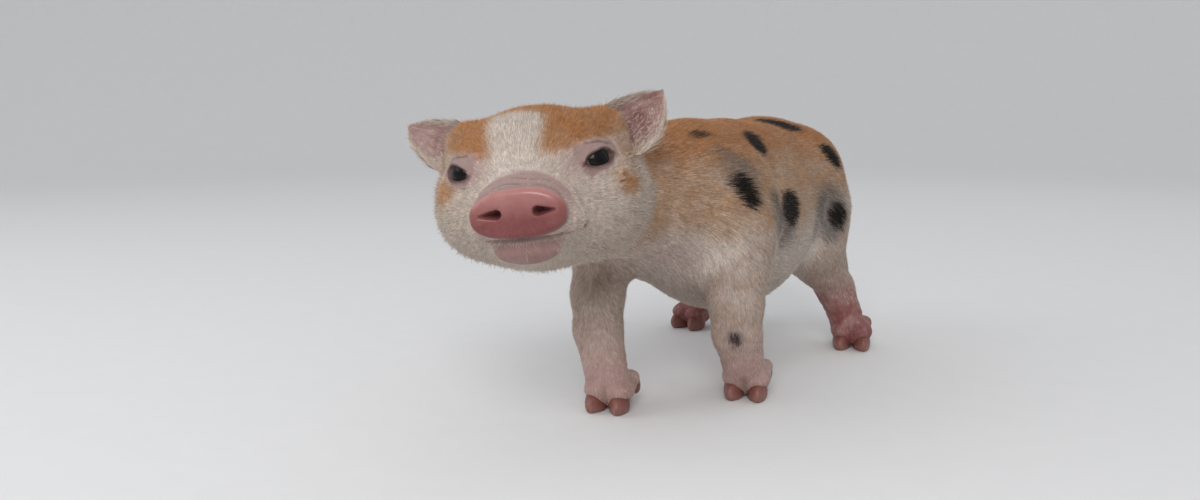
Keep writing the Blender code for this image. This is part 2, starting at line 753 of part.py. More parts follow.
def parting_cutters(collection):
    """The thin plates and walls that part the flesh into its pieces."""
    for name, (centre, normal, radius) in NECK_PLATES.items():
        thin_plate(name, centre, normal, radius, collection)
    share, radius = EAR_PLATE
    for side, frame in SIDE_FRAMES.items():
        reach = EARS[side][0] - EAR_ROOT
        place = frame @ (EAR_ROOT + share * reach)
        normal = frame.to_3x3() @ reach
        thin_plate("ear_from_head_" + side, place, normal, radius, collection)
    for leg, (centre, half) in LEG_WALLS.items():
        thin_wall("wall_" + leg, centre, half, collection)


def flesh_middles():
    """A point near the middle of each piece of flesh."""
    middles = {
        "head": HEAD_PLACE,
        "neck": Vector((-0.009, -0.113, 0.113)),
        "torso": Vector((0, 0.010, 0.100)),
        "tail": Vector(TAIL[3][0]),
    }
    for leg, (joints, _, _) in LEGS.items():
        middles["leg_" + leg] = Vector(joints[2][0])
    for side, frame in SIDE_FRAMES.items():
        middles["ear_" + side] = frame @ EAR_ROOT.lerp(EARS[side][0], 0.6)
    return middles


def islands(data):
    """The separate closed surfaces of a mesh, as sets of face numbers."""
    shape = bmesh.new()
    shape.from_mesh(data)
    shape.faces.ensure_lookup_table()
    unseen = set(range(len(shape.faces)))
    found = []
    while unseen:
        stack = [unseen.pop()]
        group = set(stack)
        while stack:
            for edge in shape.faces[stack.pop()].edges:
                for face in edge.link_faces:
                    if face.index in unseen:
                        unseen.discard(face.index)
                        group.add(face.index)
                        stack.append(face.index)
        found.append(group)
    shape.free()
    return found


def take(body, faces, name, collection):
    """A new object from some of a body's faces."""
    shape = bmesh.new()
    shape.from_mesh(body.data)
    rest = [face for face in shape.faces if face.index not in faces]
    bmesh.ops.delete(shape, geom=rest, context="FACES")
    piece = shape_object(name, shape, collection)
    finish(piece, FLESH_FINISHES[name.split("_")[0]])


def name_pieces(body, collection):
    """Names each piece of the parted flesh, and keeps the largest one for each name."""
    middles = flesh_middles()
    pieces = {}
    for faces in islands(body.data):
        corners = {corner for face in faces for corner in body.data.polygons[face].vertices}
        points = [body.data.vertices[corner].co for corner in corners]
        middle = sum(points, Vector()) / len(points)
        name = min(middles, key=lambda key: (middles[key] - middle).length)
        if len(faces) > len(pieces.get(name, ())):
            pieces[name] = faces
    for name, faces in pieces.items():
        take(body, faces, name, collection)
    bpy.data.objects.remove(body)


def centre_on_floor(collection):
    """Moves every piece until the whole stands centred over the origin."""
    points = np.vstack([mesh_points(piece.data) for piece in collection.objects])
    middle = 0.5 * (points.min(axis=0) + points.max(axis=0))
    shift = Matrix.Translation((-middle[0], -middle[1], 0))
    for piece in collection.objects:
        piece.data.transform(shift)


def build():
    """Builds every piece."""
    for obj in list(bpy.data.objects):
        bpy.data.objects.remove(obj)
    parts = new_collection("miniature_pig")
    body = flesh(parts)
    ears = new_collection("ears")
    for side in SIDE_FRAMES:
        ear(side, ears)
    combine(body, ears, "UNION")
    cutters = new_collection("cutters")
    eye_cutters(cutters)
    disc("disc_seat", SEAT_GAP, cutters)
    tube("mouth_line", mouth_path(), MOUTH_GROOVE, cutters)
    claws(GAP, cutters)
    parting_cutters(cutters)
    combine(body, cutters, "DIFFERENCE")
    name_pieces(body, parts)
    eyes(parts)
    snout_disc(parts)
    claws(0, parts)
    centre_on_floor(parts)


build()
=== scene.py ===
"""The looks of the miniature piglet: its skin, coat, eyes and claws, in a plain studio.

Lengths are in metres and angles in degrees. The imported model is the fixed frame. The piglet's
forms are repeated here from the part's source, so that a finer skin can be drawn onto them.
They are written in the trunk's own coordinates, which TRUNK_PLACE moves into the frame. The
head has a frame of its own, with the snout towards its -Y and its own left side on +X.
"""

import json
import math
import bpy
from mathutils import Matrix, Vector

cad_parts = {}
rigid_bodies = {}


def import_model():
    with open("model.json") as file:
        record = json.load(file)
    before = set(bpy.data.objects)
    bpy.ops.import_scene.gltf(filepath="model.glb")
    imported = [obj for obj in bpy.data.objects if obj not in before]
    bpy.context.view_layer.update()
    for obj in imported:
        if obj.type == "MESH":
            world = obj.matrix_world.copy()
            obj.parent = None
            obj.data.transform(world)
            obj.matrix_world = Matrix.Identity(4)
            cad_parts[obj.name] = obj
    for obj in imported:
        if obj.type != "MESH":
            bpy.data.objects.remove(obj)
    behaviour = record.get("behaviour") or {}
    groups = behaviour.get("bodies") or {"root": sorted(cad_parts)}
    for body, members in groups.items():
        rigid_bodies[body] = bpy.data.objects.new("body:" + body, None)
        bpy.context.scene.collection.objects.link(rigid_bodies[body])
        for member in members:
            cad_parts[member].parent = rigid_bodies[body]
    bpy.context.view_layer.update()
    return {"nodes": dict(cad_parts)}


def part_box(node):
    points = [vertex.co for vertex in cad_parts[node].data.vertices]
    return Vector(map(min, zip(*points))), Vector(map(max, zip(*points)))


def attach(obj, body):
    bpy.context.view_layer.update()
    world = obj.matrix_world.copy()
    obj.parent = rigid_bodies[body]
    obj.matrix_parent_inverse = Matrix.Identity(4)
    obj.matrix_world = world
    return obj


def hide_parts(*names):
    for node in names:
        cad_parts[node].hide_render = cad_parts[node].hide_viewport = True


bl_info = {
    "name": "Miniature Piglet",
    "version": (1, 0, 0),
    "blender": (4, 5, 0),
    "location": "3D View > Sidebar > Piglet",
    "description": "Dresses the packed piglet with skin, coat, eyes and claws",
    "category": "Object",
}

import bpy
import numpy as np
from bpy.props import FloatProperty, FloatVectorProperty, IntProperty, PointerProperty
from mathutils import Matrix, Vector, noise
from mathutils.kdtree import KDTree

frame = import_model()

# The photograph's camera, in the trunk's coordinates
IMAGE_WIDTH = 1200
FOCAL_PIXELS = 1000.0
SENSOR_WIDTH = 36.0
CAMERA_PLACE = Vector((0.232, -0.554, 0.165))
CAMERA_TURN = 30.0
CAMERA_TILT = 9.09

# The head's place and turn
HEAD_PLACE = Vector((-0.022, -0.172, 0.1213))
HEAD_YAW, HEAD_LIFT, HEAD_ROLL = 24.0, 1.6, 6.7

# How softly two forms melt together, as the width of the join
TRUNK_MELT = 0.026
LIMB_MELT = 0.010
HEAD_MELT = 0.010
SMALL_MELT = 0.004
TAIL_MELT = 0.002
MUZZLE_MELT = 0.006
LIP_MELT = 0.006
ORBIT_MELT = 0.006
FINE_MELT = 0.0012

# The trunk, as centres and half sizes, with the left one of each pair
BELLY = ((0, -0.003, 0.0860), (0.0480, 0.0760, 0.0500))
CHEST = ((0, -0.058, 0.1040), (0.0390, 0.0430, 0.0395))
BACK = ((0, 0.018, 0.1060), (0.0390, 0.0790, 0.0375))
RUMP = ((0, 0.061, 0.1040), (0.0460, 0.0420, 0.0400))
HIP = ((0.0250, 0.061, 0.1100), (0.0240, 0.0340, 0.0290))
SHOULDER = ((0.0290, -0.060, 0.0960), (0.0190, 0.0290, 0.0350))
HAM = ((0.0320, 0.062, 0.0820), (0.0220, 0.0300, 0.0360))
NECK = ((0, -0.065, 0.110), (-0.014, -0.138, 0.1135), 0.0350, 0.0300)

# The legs: each joint's place and half thickness, then the foot's place and its turn
LEGS = {
    "fore_left": (
        (
            ((0.0330, -0.062, 0.088), 0.0195), ((0.0350, -0.069, 0.072), 0.0168),
            ((0.0360, -0.071, 0.054), 0.0146), ((0.0365, -0.070, 0.038), 0.0130),
            ((0.0372, -0.062, 0.020), 0.0116),
        ),
        (0.0372, -0.0560), 15.0,
    ),
    "fore_right": (
        (
            ((-0.0310, -0.072, 0.090), 0.0195), ((-0.0320, -0.092, 0.074), 0.0168),
            ((-0.0300, -0.103, 0.058), 0.0146), ((-0.0260, -0.109, 0.041), 0.0130),
            ((-0.0190, -0.113, 0.020), 0.0116),
        ),
        (-0.0165, -0.1120), 12.0,
    ),
    "hind_left": (
        (
            ((0.0330, 0.060, 0.088), 0.0220), ((0.0365, 0.054, 0.068), 0.0175),
            ((0.0395, 0.067, 0.053), 0.0145), ((0.0440, 0.078, 0.038), 0.0122),
            ((0.0515, 0.079, 0.020), 0.0110),
        ),
        (0.0565, 0.0770), 18.0,
    ),
    "hind_right": (
        (
            ((-0.0330, 0.060, 0.088), 0.0220), ((-0.0370, 0.056, 0.068), 0.0175),
            ((-0.0410, 0.070, 0.053), 0.0145), ((-0.0460, 0.084, 0.038), 0.0122),
            ((-0.0530, 0.080, 0.020), 0.0110),
        ),
        (-0.0560, 0.0770), -10.0,
    ),
}
LEG_REACH = 0.075

# A foot and its claws, in the foot's own frame
SOLE_FLESH = ((0, 0.0005, 0.0106), (0.0126, 0.0125, 0.0094))
DEWCLAW_ROOT = ((0.0088, 0.0085, 0.0145), 0.0042)
TOE = ((0.0064, -0.0042, 0.0112), (0.0063, 0.0088, 0.0052))
CLAW_CENTRE = Vector((0.0063, -0.0062, 0.0045))
CLAW_HALF = Vector((0.0056, 0.0100, 0.0078))
CLAW_TOE_IN = 7.0
CLAW_NARROWS = 0.35
CLAW_LOWERS = 0.25
CLAW_RINGS = 0.012
DEWCLAW_CENTRE = Vector((0.0098, 0.0112, 0.0104))
DEWCLAW_HALF = Vector((0.0029, 0.0036, 0.0062))
DEWCLAW_LEAN = 28.0

# The tail, from the rump down
TAIL = (
    ((0, 0.088, 0.1240), 0.0050), ((0.001, 0.108, 0.1215), 0.0042),
    ((0.004, 0.1195, 0.1135), 0.0034), ((0.0085, 0.1225, 0.1020), 0.0028),
    ((0.0135, 0.1185, 0.0915), 0.0024), ((0.0165, 0.119, 0.0820), 0.0020),
)
TAIL_MIDDLE = (0.009, 0.108, 0.103)
TAIL_REACH = 0.035

# The head, in its own frame, with the left one of each pair
CRANIUM = ((0, 0.010, 0.0070), (0.0415, 0.0390, 0.0300))
CHEEK = ((0.0245, 0.009, -0.0070), (0.0245, 0.0320, 0.0250))
THROAT = ((0, 0.004, -0.0180), (0.0290, 0.0340, 0.0190))
SNOUT = ((0, -0.004, -0.0045), (0, -0.034, -0.0070), 0.0250, 0.0150, 1.28)
MUZZLE = ((0, -0.0400, -0.0080), (0.0186, 0.0100, 0.0106), 0.0035)
JAW = ((0, -0.004, -0.0190), (0, -0.0345, -0.0208), 0.0175, 0.0092, 1.45)
LOWER_LIP = ((0, -0.0392, -0.0242), (0.0138, 0.0080, 0.0050))
UPPER_LIP = ((0.0155, -0.033, -0.0130), (0.0095, 0.0120, 0.0062))
HEAD_REACH = 0.105

# The snout's disc and nostrils
DISC = ((0, -0.0510, -0.0075), (0.0203, 0.0042, 0.0102), 0.0026)
DISC_POWER = 2.6
DISC_LEAN = 5.0
DISC_DISH = 0.0003
DISC_NARROWS = 0.12
# A nostril's inner and outer end, its half widths there, and its depths there
NOSTRIL = ((0.0086, 0.0007), (0.0154, 0.0006), (0.0023, 0.0011), (0.0075, 0.0024))
# The folds that ring the muzzle behind the disc
FOLD_PITCH = 0.0042
FOLD_DEPTH = 0.0008

# Eyes and lids
EYE_CENTRE = Vector((0.0272, -0.0108, 0.0090))
EYE_RADIUS = 0.0085
LID_RADIUS = EYE_RADIUS + 0.0014
EYE_LOOK = Vector((0.70, -0.70, 0.16)).normalized()
# The lids' corners and heights, as angles seen from the eye's middle
LID_CORNERS = (-0.82, 0.86)
LID_HEIGHTS = (0.38, 0.35)
LID_SLANT = -0.17
LID_DEPTH = 0.0014
ORBIT_RADIUS = 0.0105
ORBIT_CENTRE = EYE_CENTRE + 0.0160 * EYE_LOOK
CORNEA_RISE = 0.045

# Where the head's finer forms begin: on the muzzle, round an eye, and at the disc and its face
MUZZLE_STARTS = -0.012
LIDS_REACH = 0.019
NEAR_DISC = -0.047
PRESSED_FROM = -0.048

# Marks on the head: each one's middle and how far it reaches
EYE_MARKS = (((0.0425, -0.0115, -0.0008), 0.0088), ((-0.0390, -0.0130, 0.0020), 0.0095))
TEMPLE_MARK = ((0.0390, 0.0005, 0.0110), 0.0115)
INNER_CORNER = ((0.0200, -0.0230, 0.0085), 0.0105)
SPECK = ((0.0393, -0.0154, -0.0008), 0.0008)

# Ears: the ends of the root, then for each side the tip and the bulge of the lower edge
EAR_BASE = ((0.0315, 0.0120, 0.0200), (0.0110, 0.0070, 0.0125))
EAR_ROOT_TOP = Vector((0.0290, 0.0130, 0.0320))
EAR_ROOT_LOW = Vector((0.0440, 0.0040, 0.0090))
EARS = {
    "left": (Vector((0.0610, 0.0160, 0.0350)), 0.25),
    "right": (Vector((0.0600, 0.0180, 0.0330)), -0.12),
}
EAR_ROOT = 0.5 * (EAR_ROOT_TOP + EAR_ROOT_LOW)
EAR_CUP = 0.0095
EAR_CURL = 0.0035
EAR_TAPER = 0.75
EAR_FULLNESS = 2.6
EAR_BULGE_REACH = 0.8
EAR_TOP_FULLNESS = 1.25
EAR_NARROWEST = 0.08
EAR_THICKNESS = 0.0018
EAR_SUNK = 0.22
EAR_ROWS = 58
EAR_COLUMNS = 96

# The mouth's line, as seen from a point inside the snout
MOUTH_HEART = Vector((0, -0.012, -0.0188))
MOUTH_SPREAD = 62.0
MOUTH_RISE = 0.0015
MOUTH_GROOVE = 0.0007
MOUTH_STEPS = 14

MIRROR_X = Matrix.Diagonal((-1, 1, 1, 1))


def turned(yaw, lift, roll):
    """A turn that points the snout to the left by yaw and up by lift, the left side up by roll."""
    return (
        Matrix.Rotation(math.radians(yaw), 4, "Z")
        @ Matrix.Rotation(math.radians(-lift), 4, "X")
        @ Matrix.Rotation(math.radians(-roll), 4, "Y")
    )


def trunk_place():
    """Where the trunk's coordinates lie in the frame, read from the left eye's box."""
    own = Matrix.Translation(HEAD_PLACE) @ turned(HEAD_YAW, HEAD_LIFT, HEAD_ROLL)
    low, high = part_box("eye_left")
    offset = 0.5 * (low + high) - own @ EYE_CENTRE
    return Vector((offset.x, offset.y, 0))


TRUNK_PLACE = trunk_place()
TRUNK_FRAME = Matrix.Translation(TRUNK_PLACE)
HEAD_FRAME = TRUNK_FRAME @ Matrix.Translation(HEAD_PLACE) @ turned(HEAD_YAW, HEAD_LIFT, HEAD_ROLL)
SIDE_FRAMES = {"left": HEAD_FRAME, "right": HEAD_FRAME @ MIRROR_X}


def foot_frame(leg):
    """The frame of a leg's foot."""
    _, (x, y), yaw = LEGS[leg]
    return TRUNK_FRAME @ Matrix.Translation((x, y, 0)) @ Matrix.Rotation(math.radians(yaw), 4, "Z")


def seen_from(points, place):
    """The points in a frame's own coordinates."""
    inverse = np.array(place.inverted())
    return points @ inverse[:3, :3].T + inverse[:3, 3]


def placed(points, place):
    """The points of a frame's own coordinates, in the whole model's."""
    matrix = np.array(place)
    return points @ matrix[:3, :3].T + matrix[:3, 3]


def both_sides(points):
    """The points with the right side folded onto the left."""
    return np.column_stack((np.abs(points[:, 0]), points[:, 1:]))


def size_of(vectors):
    """The length of each vector."""
    return np.sqrt(np.einsum("ij,ij->i", vectors, vectors))


def unit(vectors):
    """Each vector at length one."""
    return vectors / np.maximum(size_of(vectors), 1e-12)[:, None]


def ramp(values, start, end):
    """A smooth rise from 0 at the start to 1 at the end."""
    share = np.clip((values - start) / (end - start), 0, 1)
    return share * share * (3 - 2 * share)


def hump(values, middle, width):
    """A smooth hump of height one."""
    return np.exp(-np.square((values - middle) / width))


def mark(points, centre, reach):
    """A soft round mark about a place."""
    return hump(size_of(points - np.array(centre)), 0, reach)


def ball(points, centre, half):
    """Distance to an ellipsoid, near enough close to its surface."""
    q = points - np.array(centre)
    near = size_of(q / half)
    slope = size_of(q / np.square(half))
    return near * (near - 1.0) / np.maximum(slope, 1e-9)


def taper(points, start, end, start_thick, end_thick, widen=1.0):
    """Distance to a round-ended cone, wider along X by a factor."""
    q = points / (widen, 1, 1)
    a, b = np.array(start) / (widen, 1, 1), np.array(end) / (widen, 1, 1)
    along = np.clip((q - a) @ (b - a) / ((b - a) @ (b - a)), 0, 1)
    thick = start_thick + (end_thick - start_thick) * along
    return size_of(q - a - along[:, None] * (b - a)) - thick


def plate(points, centre, half, rounding):
    """Distance to an upright plate with a snout's outline and a rounded rim."""
    q = (points - np.array(centre)) / np.array(half)
    rim = (np.abs(q[:, 0]) ** DISC_POWER + np.abs(q[:, 2]) ** DISC_POWER) ** (1 / DISC_POWER)
    rim = (rim - 1) * half[2] + rounding
    face = (np.abs(q[:, 1]) - 1) * half[1] + rounding
    out = np.hypot(np.maximum(rim, 0), np.maximum(face, 0))
    return out + np.minimum(np.maximum(rim, face), 0) - rounding


def melt(first, second, width):
    """Smooth union of two distances."""
    share = np.clip(0.5 + 0.5 * (second - first) / width, 0, 1)
    return second + (first - second) * share - width * share * (1 - share)


def carve(form, cutter, width):
    """Smoothly takes a cutter away from a form."""
    return -melt(-form, cutter, width)


def chain(points, joints, width):
    """Distance to a row of round-ended cones."""
    form = None
    for (start, start_thick), (end, end_thick) in zip(joints, joints[1:]):
        piece = taper(points, start, end, start_thick, end_thick)
        form = piece if form is None else melt(form, piece, width)
    return form


def melt_near(points, form, centre, reach, part, width):
    """Melts a part into a form, worked out only where the part is near."""
    near = size_of(points - np.array(centre)) < reach
    if near.any():
        form = form.copy()
        form[near] = melt(form[near], part(points[near]), width)
    return form


def plain_head(points):
    """Distance to the head without its disc, lids and mouth, in the head's frame."""
    sides = both_sides(points)
    form = melt(ball(points, *CRANIUM), ball(sides, *CHEEK), HEAD_MELT)
    form = melt(form, ball(points, *THROAT), HEAD_MELT)
    form = melt(form, taper(points, *SNOUT), HEAD_MELT)
    form = melt(form, taper(points, *JAW), MUZZLE_MELT)
    form = melt(form, ball(sides, *UPPER_LIP), SMALL_MELT)
    form = melt(form, plate(points, *MUZZLE), MUZZLE_MELT)
    form = melt(form, ball(points, *LOWER_LIP), LIP_MELT)
    form = melt(form, ball(sides, *EAR_BASE), HEAD_MELT)
    form = carve(form, ball(sides, ORBIT_CENTRE, (ORBIT_RADIUS,) * 3), ORBIT_MELT)
    return melt(form, ball(sides, EYE_CENTRE, (LID_RADIUS,) * 3), SMALL_MELT)


def skin_point(heart, direction, form):
    """The point of a form's surface that is seen from far out towards a heart inside it."""
    reach = 0.1
    for _ in range(60):
        reach -= 0.8 * form(np.array([heart + direction * reach]))[0]
    return heart + direction * reach


def mouth_line():
    """Points along the mouth on the head, from the right corner to the left one."""
    points = []
    for step in range(-MOUTH_STEPS, MOUTH_STEPS + 1):
        share = step / MOUTH_STEPS
        angle = math.radians(MOUTH_SPREAD) * share
        heart = MOUTH_HEART + Vector((0, 0, MOUTH_RISE * share ** 4))
        points.append(skin_point(heart, Vector((math.sin(angle), -math.cos(angle), 0)), plain_head))
    return points


MOUTH = mouth_line()


def line_distance(points, line):
    """Distance to a line through a row of points."""
    nearest = np.full(len(points), 1.0)
    for start, end in zip(line, line[1:]):
        nearest = np.minimum(nearest, taper(points, start, end, 0, 0))
    return nearest


def disc_points(points):
    """Head points in the disc's own frame."""
    lean = Matrix.Rotation(math.radians(DISC_LEAN), 4, "X")
    return seen_from(points, Matrix.Translation(DISC[0]) @ lean)


def fold_waves(points):
    """The rise and fall of the folds that ring the muzzle, and how strongly each place has them."""
    around = np.arctan2(points[:, 0], points[:, 2] - MUZZLE[0][2])
    behind = points[:, 1] - DISC[0][1]
    wander = 0.0010 * np.sin(2.3 * around + 0.6) + 0.0005 * np.sin(5.1 * around)
    window = ramp(behind, 0.0035, 0.006) * (1 - ramp(behind, 0.0135, 0.020))
    over = 0.55 + 0.45 * ramp(np.cos(around), -0.2, 0.6)
    under = ramp(np.cos(around), -0.75, -0.35)
    return np.cos(2 * math.pi * (behind + wander) / FOLD_PITCH + 1.0), window * over * under


def disc_form(points):
    """Distance to the disc, with its dished face and the groove down its middle."""
    own = disc_points(points)
    own[:, 0] *= 1 + DISC_NARROWS * ramp(own[:, 2], 0, DISC[1][2])
    x, z = own[:, 0] / DISC[1][0], own[:, 2] / DISC[1][2]
    facing = ramp(-own[:, 1], 0, 0.003)
    dish = DISC_DISH * np.clip(1 - 1.3 * (x * x + z * z), 0, 1)
    groove = 0.00035 * hump(own[:, 0], 0, 0.0016) * ramp(-z, -0.1, 0.8)
    return plate(own, (0, 0, 0), DISC[1], DISC[2]) + facing * (dish + groove)


def nostrils(points):
    """How deep the nostrils go at head points, and how near each is to the rim of one."""
    own = both_sides(disc_points(points))
    (x, z), (end_x, end_z), (thick, end_thick), (deep, shallow) = NOSTRIL
    rim = taper(own * (1, 0, 1), (x, 0, z), (end_x, 0, end_z), thick, end_thick)
    depth = deep + (shallow - deep) * ramp(own[:, 0], x + 0.0008, end_x)
    return depth * (1 - ramp(rim, -0.0020, 0.0002)) * ramp(-own[:, 1], 0, 0.002), rim


def press_nostrils(skin):
    """Sinks the nostrils into the disc's face, with soft raised rims."""
    points = mesh_points(skin.data)
    own = seen_from(points, HEAD_FRAME)
    near = own[:, 1] < PRESSED_FROM
    depth, rim = nostrils(own[near])
    own[near, 1] += depth - 0.00012 * hump(rim, 0.0010, 0.0008) * ramp(-rim, -0.004, -0.001)
    points[near] = placed(own[near], HEAD_FRAME)
    set_points(skin.data, points)


EYE_TURN = EYE_LOOK.to_track_quat("Y", "Z").to_matrix().to_4x4()
EYE_FRAME = Matrix.Translation(EYE_CENTRE) @ EYE_TURN


def lid_angles(own):
    """How far towards the snout and how far up points lie, as angles seen from the eye."""
    across = np.arctan2(own[:, 0], own[:, 1])
    return across, np.arcsin(np.clip(own[:, 2] / np.maximum(size_of(own), 1e-6), -1, 1))


def lid_gap(own):
    """Distance beyond the lids' edge, and less than zero between the lids."""
    across, rise = lid_angles(own)
    rise = rise - LID_SLANT * across
    share = np.where(across > 0, across / LID_CORNERS[1], across / LID_CORNERS[0])
    arch = np.maximum(1 - share * share, 0)
    upper = LID_HEIGHTS[0] * arch ** np.where(across > 0, 0.45, 0.70)
    gap = np.maximum(rise - upper, -rise - LID_HEIGHTS[1] * arch ** 0.70)
    return LID_RADIUS * np.maximum(gap, 0.8 * (share - 1))


def lid_crease(across, rise):
    """How near the crease above the upper lid is."""
    level = math.radians(50) - np.where(across > 0, 0.10, 0.30) * np.square(across + 0.05)
    crease = hump(rise - level, 0, 0.075)
    return crease * (1 - ramp(across, 0.60, 0.95)) * (1 - ramp(-across, 0.95, 1.30))


def lids(sides, form):
    """Opens the lids round the eye, with a rolled rim and the creases above and below."""
    own = seen_from(sides, EYE_FRAME)
    out = size_of(own)
    gap = lid_gap(own)
    opening = np.maximum(gap, EYE_RADIUS - LID_DEPTH - out)
    across, rise = lid_angles(own)
    facing = ramp(own[:, 1], 0, 0.003) * (1 - ramp(out, 0.0135, 0.017))
    crease = lid_crease(across, rise)
    lower = math.radians(-47) + 0.28 * np.square(across)
    pouch = hump(rise - lower, 0, 0.075) * (1 - ramp(np.abs(across), 0.75, 1.1))
    second = hump(rise - lower + 0.26, 0, 0.08) * (1 - ramp(np.abs(across), 0.5, 1.0))
    form = form + facing * (0.00105 * crease + 0.00040 * pouch + 0.00028 * second)
    form = form - 0.00035 * facing * hump(gap, 0.0009, 0.0007)
    return carve(form, opening, 0.0004)


def head_form(points):
    """Distance to the whole head with its finer forms, in the head's frame."""
    form = plain_head(points)
    front = points[:, 1] < MUZZLE_STARTS
    if front.any():
        near = points[front]
        waves, strength = fold_waves(near)
        part = melt(form[front] - FOLD_DEPTH * waves * strength, disc_form(near), FINE_MELT)
        groove = line_distance(near, MOUTH) - MOUTH_GROOVE
        form[front] = carve(part, groove, FINE_MELT)
    sides = both_sides(points)
    beside = size_of(sides - np.array(EYE_CENTRE)) < LIDS_REACH
    if beside.any():
        form[beside] = lids(sides[beside], form[beside])
    return form


def leg_form(points, leg):
    """Distance to a leg with its foot and the creases above its claws."""
    form = chain(points, LEGS[leg][0], SMALL_MELT)
    own = seen_from(points, TRUNK_FRAME.inverted() @ foot_frame(leg))
    form = melt(form, ball(own, *SOLE_FLESH), SMALL_MELT)
    centre, thick = DEWCLAW_ROOT
    form = melt(form, ball(both_sides(own), centre, (thick,) * 3), SMALL_MELT)
    form = melt(form, ball(both_sides(own), *TOE), 0.6 * SMALL_MELT)
    cleft = hump(own[:, 0], 0, 0.0014) * ramp(-own[:, 1], 0.004, 0.010)
    cleft *= 1 - ramp(own[:, 2], 0.010, 0.017)
    level = own[:, 2] + 0.15 * own[:, 1] + 0.0006 * np.sin(own[:, 0] / 0.0021)
    creases = hump(level, 0.0215, 0.0009) + 0.7 * hump(level, 0.0260, 0.0010)
    creases += 0.5 * hump(level, 0.0320, 0.0012)
    return form + 0.0022 * cleft + 0.00035 * creases


def trunk_form(points):
    """Distance to the trunk and the neck."""
    sides = both_sides(points)
    form = melt(ball(points, *BELLY), ball(points, *CHEST), TRUNK_MELT)
    form = melt(form, ball(points, *BACK), TRUNK_MELT)
    form = melt(form, ball(points, *RUMP), TRUNK_MELT)
    form = melt(form, taper(points, *NECK), TRUNK_MELT)
    for pair in (SHOULDER, HIP, HAM):
        form = melt(form, ball(sides, *pair), LIMB_MELT)
    return form


def leg_middle(leg):
    """A point in the middle of a leg."""
    joints, (x, y), _ = LEGS[leg]
    return 0.5 * (Vector(joints[0][0]) + Vector((x, y, 0)))


HEAD_IN_TRUNK = TRUNK_FRAME.inverted() @ HEAD_FRAME


def flesh_form(points, head=head_form):
    """Distance to the whole piglet without its ears, in the trunk's coordinates."""
    form = trunk_form(points)
    for leg in LEGS:
        form = melt_near(
            points, form, leg_middle(leg), LEG_REACH, lambda near: leg_form(near, leg), LIMB_MELT,
        )
    form = melt_near(
        points, form, TAIL_MIDDLE, TAIL_REACH, lambda near: chain(near, TAIL, TAIL_MELT), SMALL_MELT,
    )
    return melt_near(
        points, form, HEAD_PLACE, HEAD_REACH,
        lambda near: head(seen_from(near, HEAD_IN_TRUNK)), HEAD_MELT,
    )


def coat_room(points):
    """How far the skin lies inside the solids, to leave room for the coat."""
    own = seen_from(points, HEAD_IN_TRUNK)
    depth = bpy.context.scene.piglet_skin.coat_depth
    face = ramp(own[:, 1], -0.036, 0.020)
    feet = ramp(points[:, 2], 0.018, 0.060)
    return depth * np.minimum(0.25 + 0.75 * face, feet) * face


def body_folds(points):
    """The skin folds behind the head, the shoulder and before the thigh."""
    x, y, z = np.abs(points[:, 0]), points[:, 1], points[:, 2]
    behind_head = hump(y + 0.20 * (z - 0.11) + 0.10 * x, -0.117, 0.0045)
    behind_head += 0.7 * hump(y + 0.25 * (z - 0.11), -0.104, 0.0050)
    low_neck = ramp(-z, -0.128, -0.105) * ramp(x, 0.008, 0.018)
    elbow = hump(y - 0.55 * (z - 0.075), -0.041, 0.0030) * hump(z, 0.073, 0.013) * ramp(x, 0.02, 0.03)
    flank = hump(y + 0.50 * (z - 0.075), 0.034, 0.0035) * hump(z, 0.076, 0.014) * ramp(x, 0.02, 0.03)
    return 0.0006 * behind_head * low_neck + 0.0010 * elbow + 0.0010 * flank


def back_line(points):
    """Carries the back's line smoothly from the withers to the rump."""
    upper = ramp(points[:, 2], 0.116, 0.132) * (1 - ramp(np.abs(points[:, 0]), 0.020, 0.042))
    y = points[:, 1]
    return upper * (0.0030 * hump(y, -0.014, 0.022) - 0.0010 * hump(y, -0.062, 0.018))


def skin_form(world):
    """Distance to the skin's surface, in the whole model's coordinates."""
    points = world - np.array(TRUNK_PLACE)
    return flesh_form(points) + coat_room(points) + body_folds(points) - back_line(points)


def mesh_points(data):
    """The points of a mesh as an array."""
    points = np.empty(len(data.vertices) * 3)
    data.vertices.foreach_get("co", points)
    return points.reshape(-1, 3)


def set_points(data, points):
    """Moves the points of a mesh."""
    data.vertices.foreach_set("co", points.ravel())
    data.update()


def drawn(points, form, rounds=2):
    """The points drawn onto a form's surface along its slope."""
    step, longest = 0.0001, 0.003
    for _ in range(rounds):
        here = form(points)
        slope = np.stack([form(points + step * axis) - here for axis in np.eye(3)], axis=1) / step
        steepness = np.maximum(np.einsum("ij,ij->i", slope, slope), 0.1)
        shift = -slope * (here / steepness)[:, None]
        points = points + shift * np.minimum(1, longest / np.maximum(size_of(shift), 1e-9))[:, None]
    return points


def mesh_edges(data):
    """The two ends of every edge of a mesh."""
    ends = np.empty(len(data.edges) * 2, np.int64)
    data.edges.foreach_get("vertices", ends)
    return ends.reshape(-1, 2)


def neighbour_middles(points, ends):
    """The middle of each point's neighbours."""
    count = len(points)
    first, second = ends[:, 0], ends[:, 1]
    links = np.bincount(first, minlength=count) + np.bincount(second, minlength=count)
    total = np.stack([
        np.bincount(first, points[second, axis], count) + np.bincount(second, points[first, axis], count)
        for axis in range(3)
    ], axis=1)
    return total / np.maximum(links, 1)[:, None]


def draw_onto(obj, form, rounds, moving=None, even=0.5, steps=2):
    """Evens a mesh out and draws its points onto a form, a few times over."""
    data = obj.data
    points = mesh_points(data)
    ends = mesh_edges(data)
    if moving is None:
        moving = np.ones(len(points), bool)
    for _ in range(rounds):
        middles = neighbour_middles(points, ends)
        evened = (1 - even) * points[moving] + even * middles[moving]
        points[moving] = drawn(evened, form, steps)
    set_points(data, points)


